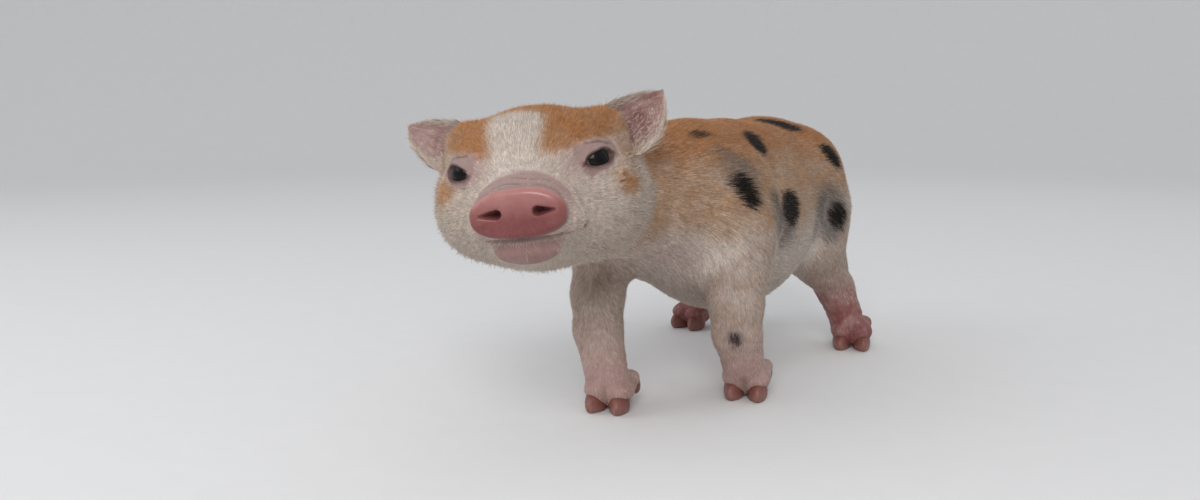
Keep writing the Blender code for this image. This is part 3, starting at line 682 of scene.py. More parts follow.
def add_object(name, data):
    """A new object in the scene."""
    obj = bpy.data.objects.new(name, data)
    bpy.context.scene.collection.objects.link(obj)
    return obj


def select_only(obj):
    """Makes an object the only one selected."""
    bpy.ops.object.select_all(action="DESELECT")
    obj.select_set(True)
    bpy.context.view_layer.objects.active = obj


def apply_modifiers(obj):
    """Applies an object's modifiers in order."""
    select_only(obj)
    for modifier in list(obj.modifiers):
        bpy.ops.object.modifier_apply(modifier=modifier.name)


def refine(obj, chosen):
    """Splits the faces whose corners are all among the chosen points."""
    data = obj.data
    picked = [all(chosen[index] for index in face.vertices) for face in data.polygons]
    data.vertices.foreach_set("select", np.zeros(len(data.vertices), bool))
    data.edges.foreach_set("select", np.zeros(len(data.edges), bool))
    data.polygons.foreach_set("select", picked)
    select_only(obj)
    bpy.context.tool_settings.mesh_select_mode = (False, False, True)
    bpy.ops.object.mode_set(mode="EDIT")
    bpy.ops.mesh.subdivide(number_cuts=1, smoothness=0)
    bpy.ops.object.mode_set(mode="OBJECT")


def add_ball(place, centre, half):
    """A rough ball as an operator makes it, at its size and place."""
    bpy.ops.mesh.primitive_uv_sphere_add(segments=32, ring_count=20, radius=1)
    obj = bpy.context.object
    obj.matrix_world = place @ Matrix.Translation(centre) @ Matrix.Diagonal((*half, 1))
    return obj


def rough_head():
    """The head's forms as overlapping balls."""
    balls = [add_ball(HEAD_FRAME, *form) for form in (CRANIUM, THROAT, LOWER_LIP, MUZZLE[:2], DISC[:2])]
    for x, y, z in (SNOUT[0], JAW[0]):
        balls.append(add_ball(HEAD_FRAME, (x, y, z), (0.026, 0.020, 0.018)))
        balls.append(add_ball(HEAD_FRAME, (x, y - 0.022, z), (0.020, 0.020, 0.014)))
    for centre, half in (CHEEK, UPPER_LIP, EAR_BASE, (EYE_CENTRE, (LID_RADIUS,) * 3)):
        balls.append(add_ball(HEAD_FRAME, centre, half))
        balls.append(add_ball(HEAD_FRAME, (-centre[0], *centre[1:]), half))
    return balls


def rough_skin(fineness):
    """One closed rough skin over copies of the solids and over the head's balls."""
    pieces = rough_head()
    for name, node in frame["nodes"].items():
        if name.startswith(("neck", "torso", "tail", "leg", "claw", "dewclaw")):
            pieces.append(add_object("rough_" + name, node.data.copy()))
    select_only(pieces[0])
    for piece in pieces:
        piece.select_set(True)
    bpy.ops.object.join()
    skin = bpy.context.object
    bpy.ops.object.transform_apply(location=True, rotation=True, scale=True)
    bpy.ops.object.mode_set(mode="EDIT")
    bpy.ops.mesh.select_all(action="SELECT")
    bpy.ops.mesh.remove_doubles(threshold=0.000002)
    bpy.ops.object.mode_set(mode="OBJECT")
    skin.name = skin.data.name = "skin"
    remesh = skin.modifiers.new("one_skin", "REMESH")
    remesh.mode = "VOXEL"
    remesh.voxel_size = fineness
    apply_modifiers(skin)
    return skin


def ear_back(side):
    """The direction that the back of an ear faces, in the frame of its side of the head."""
    return (EARS[side][0] - EAR_ROOT).cross(EAR_ROOT_LOW - EAR_ROOT_TOP).normalized()


def ear_middles(side, along, across):
    """Points in the middle of an ear's wall, from root to tip and from the low edge to the top."""
    tip, bulge = EARS[side]
    grown = np.clip(along, 0, 1)
    top_width = np.maximum((1 - grown ** EAR_TOP_FULLNESS) ** EAR_TAPER, EAR_NARROWEST)
    low_width = (1 - grown ** EAR_FULLNESS) ** EAR_TAPER
    low_width = low_width + bulge * np.sin(math.pi * grown ** EAR_BULGE_REACH)
    ripple = 1 + 0.025 * np.sin(11 * along + 1.0) * grown
    width = np.where(across > 0, top_width, np.maximum(low_width, EAR_NARROWEST)) * ripple
    bend = EAR_CUP * (1 - across * across) * top_width - EAR_CURL * grown * grown
    reach = np.array(tip - EAR_ROOT)
    half = np.array(0.5 * (EAR_ROOT_TOP - EAR_ROOT_LOW))
    back = np.array(ear_back(side))
    return (
        np.array(EAR_ROOT) + along[:, None] * reach + (across * width)[:, None] * half
        + bend[:, None] * back
    )


def ear_grid(side):
    """The surface points of an ear row by row, with how far along, across and outwards each is."""
    rows = np.linspace(-EAR_SUNK, 1, EAR_ROWS)
    turn = np.linspace(0, 2 * math.pi, EAR_COLUMNS, endpoint=False)
    along, turn = (grid.ravel() for grid in np.meshgrid(rows, turn, indexing="ij"))
    across = np.cos(turn)
    outward = np.sign(np.sin(turn)) * np.abs(np.sin(turn)) ** 0.45
    grown = np.clip(along, 0, 1)
    thick = 0.5 * EAR_THICKNESS * (1 - 0.45 * grown) * np.sqrt(1 - 0.96 * ramp(grown, 0.9, 1.0))
    centre = 1 - across * across
    fold = 0.00042 * np.sin(9.5 * across + 4.0 * along + 0.8 * np.sin(7 * along))
    fold += 0.00030 * np.sin(17 * along + 3.0 * across)
    wrinkle = fold * centre * ramp(-outward, 0.0, 0.9) * ramp(grown, 0.05, 0.2)
    wrinkle *= 1 - ramp(grown, 0.85, 1.0)
    points = ear_middles(side, along, across)
    points = points + (thick * outward + wrinkle)[:, None] * np.array(ear_back(side))
    return placed(points, SIDE_FRAMES[side]), along, across, outward


def ear_mesh(side):
    """One ear as a finely lofted closed cup."""
    points, _, _, _ = ear_grid(side)
    points = [tuple(point) for point in points]
    faces = []
    for low in range(0, (EAR_ROWS - 1) * EAR_COLUMNS, EAR_COLUMNS):
        high = low + EAR_COLUMNS
        for column in range(EAR_COLUMNS):
            after = (column + 1) % EAR_COLUMNS
            faces.append((low + column, low + after, high + after, high + column))
    for row in (0, EAR_ROWS - 1):
        ring = [row * EAR_COLUMNS + column for column in range(EAR_COLUMNS)]
        middle = np.mean([points[index] for index in ring], axis=0)
        points.append(tuple(middle))
        for column in range(EAR_COLUMNS):
            faces.append((ring[column], ring[(column + 1) % EAR_COLUMNS], len(points) - 1))
    data = bpy.data.meshes.new("ear_" + side)
    data.from_pydata(points, [], faces)
    obj = add_object("loft_" + side, data)
    turn_outwards(obj)
    return obj


def turn_outwards(obj):
    """Turns all the faces of a closed mesh outwards."""
    select_only(obj)
    bpy.ops.object.mode_set(mode="EDIT")
    bpy.ops.mesh.select_all(action="SELECT")
    bpy.ops.mesh.normals_make_consistent(inside=False)
    bpy.ops.object.mode_set(mode="OBJECT")


class EarFinder:
    """Finds which ear a point is on, and where on it."""

    def __init__(self):
        self.grids = {}
        for side in EARS:
            points, along, across, outward = ear_grid(side)
            tree = KDTree(len(points))
            for index, point in enumerate(points):
                tree.insert(point, index)
            tree.balance()
            self.grids[side] = (tree, along, across, outward)

    def find(self, points):
        """For each point the distance to an ear, the side, and how far along, across and outwards."""
        found = np.zeros((len(points), 5))
        found[:, 0] = 1.0
        for number, side in enumerate(EARS):
            tree, along, across, outward = self.grids[side]
            root = np.array(SIDE_FRAMES[side] @ EAR_ROOT.lerp(EARS[side][0], 0.4))
            for index in np.flatnonzero(size_of(points - root) < 0.035):
                _, nearest, distance = tree.find(points[index])
                if distance < found[index, 0]:
                    found[index] = (distance, number, along[nearest], across[nearest], outward[nearest])
        return found


def join_ears(skin):
    """Joins the two ears to the skin."""
    lofts = bpy.data.collections.new("ear_lofts")
    bpy.context.scene.collection.children.link(lofts)
    for side in EARS:
        loft = ear_mesh(side)
        bpy.context.scene.collection.objects.unlink(loft)
        lofts.objects.link(loft)
    union = skin.modifiers.new("ears", "BOOLEAN")
    union.operation = "UNION"
    union.solver = "MANIFOLD"
    union.operand_type = "COLLECTION"
    union.collection = lofts
    apply_modifiers(skin)
    for loft in list(lofts.objects):
        bpy.data.objects.remove(loft)
    bpy.data.collections.remove(lofts)


def smooth_ear_roots(skin, finder):
    """Softens the crease where the ears leave the head."""
    points = mesh_points(skin.data)
    ends = mesh_edges(skin.data)
    on_ear = finder.find(points)[:, 0]
    near = np.flatnonzero(on_ear < 0.004)
    off_head = np.ones(len(points))
    off_head[near] = np.abs(skin_form(points[near]))
    share = (1 - ramp(on_ear, 0.0010, 0.0032)) * (1 - ramp(off_head, 0.0010, 0.0032))
    for _ in range(10):
        points += 0.5 * share[:, None] * (neighbour_middles(points, ends) - points)
    set_points(skin.data, points)


def point_normals(data):
    """The normal at each point of a mesh."""
    normals = np.empty(len(data.vertices) * 3)
    data.vertices.foreach_get("normal", normals)
    return normals.reshape(-1, 3)


# The parts of the skin, each with its own way of unrolling
CHARTS = (
    "trunk", "head", "fore_left", "fore_right", "hind_left", "hind_right", "tail",
    "ear_left_back", "ear_left_front", "ear_right_back", "ear_right_front",
)
CHART_NUMBERS = {name: number for number, name in enumerate(CHARTS)}
EAR_CHARTS = CHART_NUMBERS["ear_left_back"]
HEAD_HEART = np.array((0, 0.004, -0.006))
EAR_STARTS = 0.16

# How far a turn of one radian goes on each part, and an ear's half width and length
TRUNK_RADIUS, HEAD_RADIUS, LEG_RADIUS, TAIL_RADIUS = 0.045, 0.032, 0.014, 0.003
HEAD_ARC = 0.042
EAR_UNROLLED = (0.013, 0.024)
TRUNK_HEIGHT = 0.098


class Places:
    """Where points lie on the piglet: their distances to its parts, and their places on them."""

    def __init__(self, world, finder):
        self.points = world - np.array(TRUNK_PLACE)
        self.own = seen_from(self.points, HEAD_IN_TRUNK)
        self.ear = finder.find(world)
        self.gaps = {"trunk": trunk_form(self.points), "head": plain_head(self.own)}
        for leg in LEGS:
            self.gaps[leg] = chain(self.points, LEGS[leg][0], SMALL_MELT)
            self.gaps[leg] = np.minimum(self.gaps[leg], 0.4 * np.abs(self.points[:, 2]) + self.foot(leg))
        self.gaps["tail"] = chain(self.points, TAIL, TAIL_MELT)
        self.chart = np.argmin(np.stack(list(self.gaps.values())), axis=0)
        on_ear = (self.ear[:, 0] < 0.0016) & (self.ear[:, 2] > EAR_STARTS)
        ear_chart = EAR_CHARTS + 2 * self.ear[:, 1].astype(int) + (self.ear[:, 4] < 0)
        self.chart = np.where(on_ear, ear_chart, self.chart)

    def foot(self, leg):
        """Distance from a foot's middle, as a leg's points are there too."""
        _, (x, y), _ = LEGS[leg]
        return size_of(self.points - np.array((x, y, 0.010))) - 0.016

    def on_ear(self):
        """Whether each point is on an ear."""
        return self.chart >= EAR_CHARTS


def chart_coordinates(chart, points):
    """How far across and along the coat's lie points are, unrolled on one part, and its girth."""
    name = CHARTS[chart]
    if name == "trunk":
        radius = TRUNK_RADIUS
        angle = np.arctan2(points[:, 0], points[:, 2] - TRUNK_HEIGHT)
        along = points[:, 1] - 0.3 * points[:, 2]
    elif name == "head":
        radius = HEAD_RADIUS
        away = seen_from(points, HEAD_IN_TRUNK) - HEAD_HEART
        angle = np.arctan2(away[:, 0], away[:, 2])
        along = HEAD_ARC * np.arccos(np.clip(-away[:, 1] / np.maximum(size_of(away), 1e-9), -1, 1))
    else:
        radius = TAIL_RADIUS if name == "tail" else LEG_RADIUS
        joints = TAIL if name == "tail" else LEGS[name][0]
        x, y, heights = np.array([joint[0] for joint in joints[::-1]]).T
        middle, behind = np.interp(points[:, 2], heights, x), np.interp(points[:, 2], heights, y)
        angle = np.arctan2(points[:, 0] - middle, points[:, 1] - behind)
        along = -points[:, 2]
    return np.column_stack((angle * radius, along)), 2 * math.pi * radius


def unrolled(places):
    """Each point's place across and along the coat's lie, on its own part of the skin."""
    result = places.ear[:, (3, 2)] * EAR_UNROLLED
    for chart in np.unique(places.chart):
        if chart < EAR_CHARTS:
            inside = places.chart == chart
            result[inside] = chart_coordinates(chart, places.points[inside])[0]
    return result


# How large the random patches are that break up the markings
BROAD_PATCH, MIDDLE_PATCH, FINE_PATCH = 0.021, 0.0075, 0.0022


def patchy(points, size, seed=0.0):
    """Smooth random values between about -1 and 1, in patches of a size."""
    offset = Vector((seed * 7.31, seed * 3.77, seed * 5.13))
    return np.array([noise.noise(Vector(point) / size + offset) for point in points])


# The black spots and grey patches of the coat, in the trunk's coordinates: the middle, the way
# that the spot is long, its half length and half width, and how strongly it shows. The first
# eight spots and the first seven patches follow the photograph, and the others are made up.
BLACK_SPOTS = (
    ((0.0167, -0.0850, 0.1428), (0.3, 1.0, -0.1), 0.0080, 0.0042, 0.75),
    ((0.0290, -0.0359, 0.1375), (-0.27, 0.95, 0.10), 0.0115, 0.0092, 1.0),
    ((0.0180, 0.0355, 0.1440), (0.75, 0.65, -0.2), 0.0150, 0.0075, 1.0),
    ((0.0455, 0.0495, 0.1265), (0.4, 0.76, -0.5), 0.0115, 0.0072, 1.0),
    ((0.0417, -0.0800, 0.1150), (0.45, 0.40, -0.72), 0.0112, 0.0064, 1.0),
    ((0.0472, -0.0235, 0.1017), (0.0, 0.80, -0.60), 0.0105, 0.0098, 1.0),
    ((0.0533, 0.0450, 0.0901), (0.1, 0.70, -0.70), 0.0088, 0.0076, 1.0),
    ((0.0408, -0.0833, 0.0374), (0.4, 0.1, -0.9), 0.0046, 0.0038, 1.0),
    ((-0.0180, -0.0560, 0.1430), (0.3, 1.0, 0.0), 0.0080, 0.0055, 1.0),
    ((-0.0400, -0.0300, 0.1270), (0.2, 0.6, -0.7), 0.0085, 0.0060, 1.0),
    ((-0.0480, -0.0640, 0.1060), (0.1, 0.5, -0.85), 0.0075, 0.0055, 1.0),
    ((-0.0300, 0.0150, 0.1370), (0.4, 0.9, -0.3), 0.0100, 0.0058, 1.0),
    ((-0.0500, 0.0080, 0.1000), (0.0, 0.4, -0.9), 0.0068, 0.0056, 0.95),
    ((-0.0470, 0.0560, 0.1180), (0.2, 0.8, -0.5), 0.0090, 0.0060, 1.0),
    ((-0.0540, 0.0600, 0.0820), (0.0, 0.3, -0.95), 0.0070, 0.0050, 0.9),
    ((-0.0060, 0.0880, 0.1330), (1.0, 0.3, -0.3), 0.0085, 0.0050, 1.0),
    ((0.0250, 0.0960, 0.1060), (0.5, 0.2, -0.8), 0.0072, 0.0050, 0.9),
)
GREY_PATCHES = (
    ((0.0288, -0.0821, 0.1344), (0.3, 1.0, -0.2), 0.0075, 0.0040, 0.6),
    ((0.0375, -0.0780, 0.1230), (0.4, 0.5, -0.7), 0.0160, 0.0110, 0.62),
    ((0.0487, -0.0497, 0.1073), (0.0, 1.0, -0.5), 0.0120, 0.0065, 0.80),
    ((0.0490, -0.0400, 0.0930), (0.0, 0.9, -0.40), 0.0240, 0.0115, 0.78),
    ((0.0500, 0.0370, 0.0920), (0.0, 0.7, -0.7), 0.0190, 0.0165, 0.85),
    ((0.0405, -0.0830, 0.0380), (0.4, 0.1, -0.9), 0.0080, 0.0068, 0.6),
    ((0.0296, -0.0359, 0.1369), (0.2, 1.0, -0.3), 0.0100, 0.0080, 0.35),
    ((-0.0480, -0.0180, 0.0930), (0.0, 0.9, -0.4), 0.0200, 0.0100, 0.65),
    ((-0.0500, 0.0550, 0.0930), (0.0, 0.7, -0.7), 0.0150, 0.0130, 0.6),
    ((-0.0480, -0.0640, 0.1060), (0.1, 0.5, -0.85), 0.0120, 0.0095, 0.5),
)


def spots(points, listed, softness, ragged):
    """How strongly the listed spots cover each point."""
    cover = np.zeros(len(points))
    for centre, way, half_long, half_short, strength in listed:
        away = points - np.array(centre)
        long = away @ np.array(Vector(way).normalized())
        short = np.sqrt(np.maximum(np.einsum("ij,ij->i", away, away) - long * long, 0))
        reach = np.hypot(long / half_long, short / half_short) + ragged
        cover = np.maximum(cover, strength * (1 - ramp(reach, 1 - softness, 1 + softness)))
    return cover


def head_tan_masks(own, broad, middling, rough):
    """How tan the head is at each point, how much of that is the forehead's, and the eyes' marks."""
    x, y, z = own.T
    wide = np.abs(x)
    blaze_side = np.abs(x + 0.0036 + 0.0012 * broad) - 0.0122 - 0.0020 * rough - 0.10 * (z - 0.026)
    blaze = 1 - ramp(blaze_side, -0.0052, 0.0052)
    blaze *= 1 - ramp(y + 0.35 * x + 0.0030 * rough, -0.0145, -0.0040)
    brow = 0.0150 + 0.0035 * ramp(wide, 0.018, 0.030) + 0.0020 * rough
    above = ramp(z, brow - 0.0044, brow + 0.0030)
    forehead = above * (1 - blaze) * (1 - 0.40 * ramp(wide, 0.031, 0.042))
    eye_marks = np.maximum(*(mark(own, *place) for place in EYE_MARKS))
    eye_marks = np.clip(eye_marks * (0.85 + 0.6 * rough), 0, 1)
    temples = 0.62 * mark(both_sides(own), *TEMPLE_MARK) * (1 + 0.4 * middling)
    nape = ramp(y, 0.012, 0.030) * ramp(z, -0.020, 0.0)
    tan = np.maximum.reduce([forehead, eye_marks, temples, 0.75 * nape, 0.18 * (1 - blaze)])
    return tan, forehead, eye_marks


def eye_masks(sides, rough):
    """How dusky the skin round an eye is, and how near its rim, outer corner and crease are."""
    eye_own = seen_from(sides, EYE_FRAME)
    across, rise = lid_angles(eye_own)
    gap = lid_gap(eye_own)
    at_eye = 1 - ramp(size_of(eye_own), 0.0130, 0.0165)
    reach = 0.0020 + 0.0036 * ramp(rise, 0.0, 0.5) + 0.0026 * ramp(across, 0.4, 0.9)
    lid = (1 - ramp(gap - reach + 0.0009 * rough, -0.0008, 0.0034)) * at_eye
    dusky = np.clip(np.maximum(lid, 0.95 * mark(sides, *INNER_CORNER)), 0, 1)
    rim = hump(gap, 0.0002, 0.0007) * at_eye
    corner = hump(gap, 0.0, 0.0012) * ramp(across, 0.55, 0.85) * at_eye
    return dusky, rim, corner, lid_crease(across, rise) * at_eye


def leg_masks(places, broad):
    """How bare the legs are towards their feet, and how red and dark the hind ones are low down: partly
    their own redder skin, partly painted shade under the body.
    """
    height = places.points[:, 2]
    low_leg, hind = np.zeros(len(height)), np.zeros(len(height))
    for leg in LEGS:
        on_leg = places.chart == CHART_NUMBERS[leg]
        low_leg = np.where(on_leg, 1 - ramp(height + 0.006 * broad, 0.016, 0.092), low_leg)
        if "hind" in leg:
            hind = np.where(on_leg, hump(np.maximum(height, 0.028), 0.028, 0.028), hind)
    return low_leg, hind


def markings(places, normals):
    """The masks of the coat's colours and of the bare skin, with painted shade in the hollows, on the
    disc, on the legs and in the ears, for points on the piglet.
    """
    points, own, gaps = places.points, places.own, places.gaps
    height, up = points[:, 2], normals[:, 2]
    x, y, z = own.T
    broad, middling = patchy(points, BROAD_PATCH, 1), patchy(points, MIDDLE_PATCH, 2)
    rough = 0.5 * middling + 0.5 * patchy(points, FINE_PATCH, 3)
    near_disc = y < NEAR_DISC
    on_ear = places.on_ear()
    inner = on_ear & (places.ear[:, 4] < 0)
    on_tail = places.chart == CHART_NUMBERS["tail"]
    on_legs = (places.chart >= CHART_NUMBERS["fore_left"]) & (places.chart < CHART_NUMBERS["tail"])
    at_head = np.where(on_ear, 1, ramp(gaps["trunk"] - gaps["head"], -0.004, 0.010))

    head_tan, forehead, eye_marks = head_tan_masks(own, broad, middling, rough)
    body_line = 0.092 + 0.010 * ramp(points[:, 1], -0.01, 0.06) + 0.007 * broad + 0.003 * rough
    body_tan = ramp(height, body_line - 0.012, body_line + 0.014) * (0.80 + 0.25 * middling)
    shoulder_line = hump(points[:, 1] - 0.25 * (height - 0.10), -0.058, 0.006)
    body_tan *= 1 - 0.45 * shoulder_line * ramp(-height, -0.125, -0.100)
    tan = at_head * head_tan + (1 - at_head) * body_tan
    tan = np.where(on_legs, np.maximum(tan, 0.34 + 0.20 * middling), tan)
    ear_tan = 0.24 + 0.50 * (1 - ramp(places.ear[:, 2], 0.1, 0.55)) + 0.15 * middling
    tan = np.where(on_ear, np.where(inner, 0.15, ear_tan), tan)
    back_ginger = ramp(height + 0.006 * broad + 0.004 * middling, 0.118, 0.142)
    head_ginger = np.maximum(forehead * (0.75 + 0.35 * middling), 0.55 * eye_marks)
    ginger = np.where(on_ear, 0.15, at_head * head_ginger + (1 - at_head) * back_ginger * 0.8)

    grey = spots(points, GREY_PATCHES, 0.55, 0.25 * rough)
    # Painted shade on the legs above the feet, carried by the grey mask
    grey = np.maximum(grey, 0.20 * on_legs * ramp(height, 0.018, 0.040))
    black = spots(points, BLACK_SPOTS, 0.30, 0.34 * rough + 0.16 * broad)
    black = np.maximum(np.where(on_ear, 0, black), mark(own, *SPECK))

    # The lids' rim and crease are painted darker below, as painted shade
    dusky, rim, corner, crease = eye_masks(both_sides(own), rough)
    # Painted shade inside the nostrils, deepest at their inner ends
    nostril_shade = np.where(near_disc, 1.15 * nostrils(own)[0] / NOSTRIL[3][0], 0)
    off_disc = disc_form(own)
    wet = np.where(near_disc | (off_disc < 0.0004), 1 - ramp(off_disc, 0.0004, 0.0012), 0)
    wet = np.maximum(wet, np.where(near_disc & (nostril_shade > 0.02), 1, 0))
    # Painted shade along the edge of the disc
    disc_edge_shade = hump(off_disc, 0.0010, 0.0006) * ramp(-y, 0.040, 0.044)
    waves, folded = fold_waves(own)
    folded = np.where(y < -0.020, folded, 0)
    # Painted shade in the valleys between the folds
    valley_shade = folded * ramp(-waves, 0.0, 0.9)
    ring = 1 - ramp(y - DISC[0][1] + 0.0024 * rough, 0.0115, 0.0200)
    ring *= 0.50 + 0.50 * ramp(z, -0.018, 0.0)
    ring *= 1 - wet
    # The mouth's line is painted dark below, as painted shade in its groove
    mouth_gap = line_distance(own, MOUTH)
    lips = hump(mouth_gap, 0, 0.0022)
    chin = (1 - ramp(np.abs(x), 0.0105, 0.0250)) * ramp(-z, 0.0165, 0.0215) * ramp(-y, 0.026, 0.036)
    low_leg, hind = leg_masks(places, broad)
    under = ramp(-up, 0.25, 0.85) * ramp(-height, -0.085, -0.060)
    throat = ramp(-up, 0.1, 0.7) * hump(points[:, 1], -0.105, 0.035)

    bare = np.maximum.reduce([
        0.10 + 0.15 * ramp(-height, -0.105, -0.075), 0.92 * dusky, 0.90 * ring, 0.92 * chin, wet,
        0.9 * lips, 0.78 * low_leg, 0.62 * under, 0.90 * folded, 0.60 * throat, 0.85 * inner,
        0.86 * (on_ear & ~inner), 0.5 * on_tail, 0.90 * hind, corner, 0.40 * on_legs,
    ])
    # Painted shade deep in the inner ear's cup, darker and redder there
    ear_cup_shade = hump(places.ear[:, 3], -0.25, 0.60) * hump(places.ear[:, 2], 0.30, 0.40) * inner
    ear_red = np.where(inner, np.where(x > 0, 0.62, 0.24) + 0.4 * ear_cup_shade, 0.20)
    # Painted shade on the disc: darker and redder towards its bottom, as light from above would leave it
    disc_low_shade = wet * (0.05 + 0.90 * ramp(-disc_points(own)[:, 2], -0.0102, 0.0045))
    # Reddened skin on the ears, lips, legs, throat, underside, chin and eye corners, and painted shade
    # on the disc's lower part and, with their own redness, on the lower hind legs
    flush = np.maximum.reduce([
        disc_low_shade, np.where(on_ear, ear_red + 0.25 * middling, 0), 0.9 * lips, hind,
        0.40 * low_leg, 0.45 * throat, 0.30 * under, 0.40 * chin, 0.85 * corner,
    ])
    # Painted shade: inside the nostrils, along the lids' rim and in their crease, in the folds' valleys,
    # along the disc's edge and the mouth's line, and deep in the inner ears
    painted_shade = np.maximum.reduce([
        nostril_shade, 0.90 * rim, 0.50 * crease, 0.55 * valley_shade * (1 - wet), 0.50 * disc_edge_shade,
        0.70 * hump(mouth_gap, 0, 0.0011),
        np.where(x > 0, 0.38, 0.15) * ear_cup_shade * (0.8 + 0.8 * rough),
    ])
    return {
        "Tan": tan, "Ginger": ginger * np.clip(tan * 1.3, 0, 1), "Grey": grey, "Black": black,
        "Bare": bare, "Dusky": np.maximum.reduce([dusky, 0.75 * ring, 0.75 * chin, valley_shade]),
        "Flush": flush, "Wet": wet, "Pit": painted_shade,
    }


def set_float(data, name, values):
    """Keeps one value for each point of a mesh."""
    attribute = data.attributes.new(name, "FLOAT", "POINT")
    attribute.data.foreach_set("value", np.clip(values, 0, 1).astype(np.float32))


def face_corners(data):
    """The point and the face of each corner of a mesh, and each face's first corner."""
    corners = np.empty(len(data.loops), np.int64)
    data.loops.foreach_get("vertex_index", corners)
    counts = np.empty(len(data.polygons), np.int64)
    data.polygons.foreach_get("loop_total", counts)
    return corners, np.repeat(np.arange(len(counts)), counts), np.cumsum(counts) - counts


def set_lie_map(data, places):
    """A map of the skin that runs across and along the lie of the coat, unrolled face by face."""
    corners, owners, starts = face_corners(data)
    charts = places.chart[corners[starts]][owners]
    result = places.ear[corners][:, (3, 2)] * EAR_UNROLLED
    for chart in range(EAR_CHARTS):
        inside = charts == chart
        coordinates, girth = chart_coordinates(chart, places.points[corners[inside]])
        first = np.zeros(len(starts))
        first[owners[inside][::-1]] = coordinates[::-1, 0]
        reference = first[owners[inside]]
        coordinates[:, 0] -= girth * np.round((coordinates[:, 0] - reference) / girth)
        result[inside] = coordinates
    layer = data.uv_layers.new(name="Lie")
    layer.data.foreach_set("uv", (result * 10).ravel())


def set_round_map(data, name, turn, along):
    """A map of a round piece, from its points' share of a turn and their place along its axis."""
    corners, owners, starts = face_corners(data)
    across = turn[corners]
    across = across - np.round(across - across[starts][owners])
    layer = data.uv_layers.new(name=name)
    layer.data.foreach_set("uv", np.column_stack((across, along[corners])).ravel())


class Nodes:
    """Short calls for building a node tree."""

    def __init__(self, tree):
        self.tree = tree

    def add(self, kind, **settings):
        """A node with its settings."""
        node = self.tree.nodes.new(kind)
        for key, value in settings.items():
            setattr(node, key, value)
        return node

    def link(self, source, target):
        """Joins an output to an input."""
        self.tree.links.new(source, target)

    def feed(self, socket, value):
        """Gives an input a link or a plain value."""
        if isinstance(value, bpy.types.NodeSocket):
            self.link(value, socket)
        else:
            socket.default_value = value

    def value(self, name):
        """A mask that is kept on the mesh."""
        return self.add("ShaderNodeAttribute", attribute_name=name).outputs["Fac"]

    def math(self, operation, first, second=0.0, third=0.0, clamp=False):
        """The result of a sum on two or three values."""
        node = self.add("ShaderNodeMath", operation=operation, use_clamp=clamp)
        for socket, value in zip(node.inputs, (first, second, third)):
            self.feed(socket, value)
        return node.outputs[0]

    def mix(self, share, first, second, blend="MIX"):
        """Two colours mixed by a share."""
        node = self.add("ShaderNodeMix", data_type="RGBA", blend_type=blend, clamp_factor=True)
        self.feed(node.inputs["Factor"], share)
        self.feed(node.inputs["A"], first)
        self.feed(node.inputs["B"], second)
        return next(output for output in node.outputs if output.type == "RGBA")

    def shade(self, value):
        """A grey whose brightness is a value."""
        node = self.add("ShaderNodeCombineColor")
        for socket in node.inputs:
            self.feed(socket, value)
        return node.outputs[0]

    def spread(self, value, low, high, to_low, to_high):
        """A value carried from one range to another."""
        node = self.add("ShaderNodeMapRange")
        names = ("From Min", "From Max", "To Min", "To Max")
        for name, number in zip(names, (low, high, to_low, to_high)):
            self.feed(node.inputs[name], number)
        self.feed(node.inputs["Value"], value)
        return node.outputs[0]

    def noise(self, vector, scale, detail=2.0, roughness=0.5):
        """Noise on coordinates."""
        node = self.add("ShaderNodeTexNoise")
        self.feed(node.inputs["Vector"], vector)
        node.inputs["Scale"].default_value = scale
        node.inputs["Detail"].default_value = detail
        node.inputs["Roughness"].default_value = roughness
        return node.outputs["Fac"]

    def stretched(self, vector, scale):
        """Coordinates scaled apart."""
        node = self.add("ShaderNodeMapping")
        self.feed(node.inputs["Vector"], vector)
        node.inputs["Scale"].default_value = scale
        return node.outputs["Vector"]

    def bump(self, height, strength, distance, normal=None):
        """A bumped normal."""
        node = self.add("ShaderNodeBump")
        self.feed(node.inputs["Height"], height)
        node.inputs["Strength"].default_value = strength
        node.inputs["Distance"].default_value = distance
        if normal is not None:
            self.link(normal, node.inputs["Normal"])
        return node.outputs["Normal"]


def new_group(name, inputs, outputs):
    """A shader group with its sockets, and its short calls."""
    group = bpy.data.node_groups.new(name, "ShaderNodeTree")
    for direction, sockets in (("INPUT", inputs), ("OUTPUT", outputs)):
        for socket_name, kind in sockets:
            group.interface.new_socket(socket_name, in_out=direction, socket_type=kind)
    nodes = Nodes(group)
    return group, nodes, nodes.add("NodeGroupInput"), nodes.add("NodeGroupOutput")


COAT_COLOURS = ("Cream", "Tan", "Ginger", "Grey", "Black")
# The last of the skin's colours is painted shade, and the reddened one also paints shade on the disc's
# lower part and the lower hind legs
SKIN_COLOURS = ("Pink", "Dusky", "Flush", "Disc", "Painted_shade")


def coat_colours_group():
    """The coat's colours, mixed by the masks that skin and tufts both carry."""
    group, nodes, given, out = new_group(
        "Coat Colours", [(name, "NodeSocketColor") for name in COAT_COLOURS],
        [("Color", "NodeSocketColor")],
    )
    object_place = nodes.add("ShaderNodeTexCoord").outputs["Object"]
    mottle = nodes.spread(nodes.noise(object_place, 420.0, 3.0, 0.6), 0.3, 0.7, 0.84, 1.14)
    colour = given.outputs["Cream"]
    for name in COAT_COLOURS[1:]:
        colour = nodes.mix(nodes.value(name), colour, given.outputs[name])
    nodes.link(nodes.mix(1.0, colour, nodes.shade(mottle), "MULTIPLY"), out.inputs["Color"])
    return group


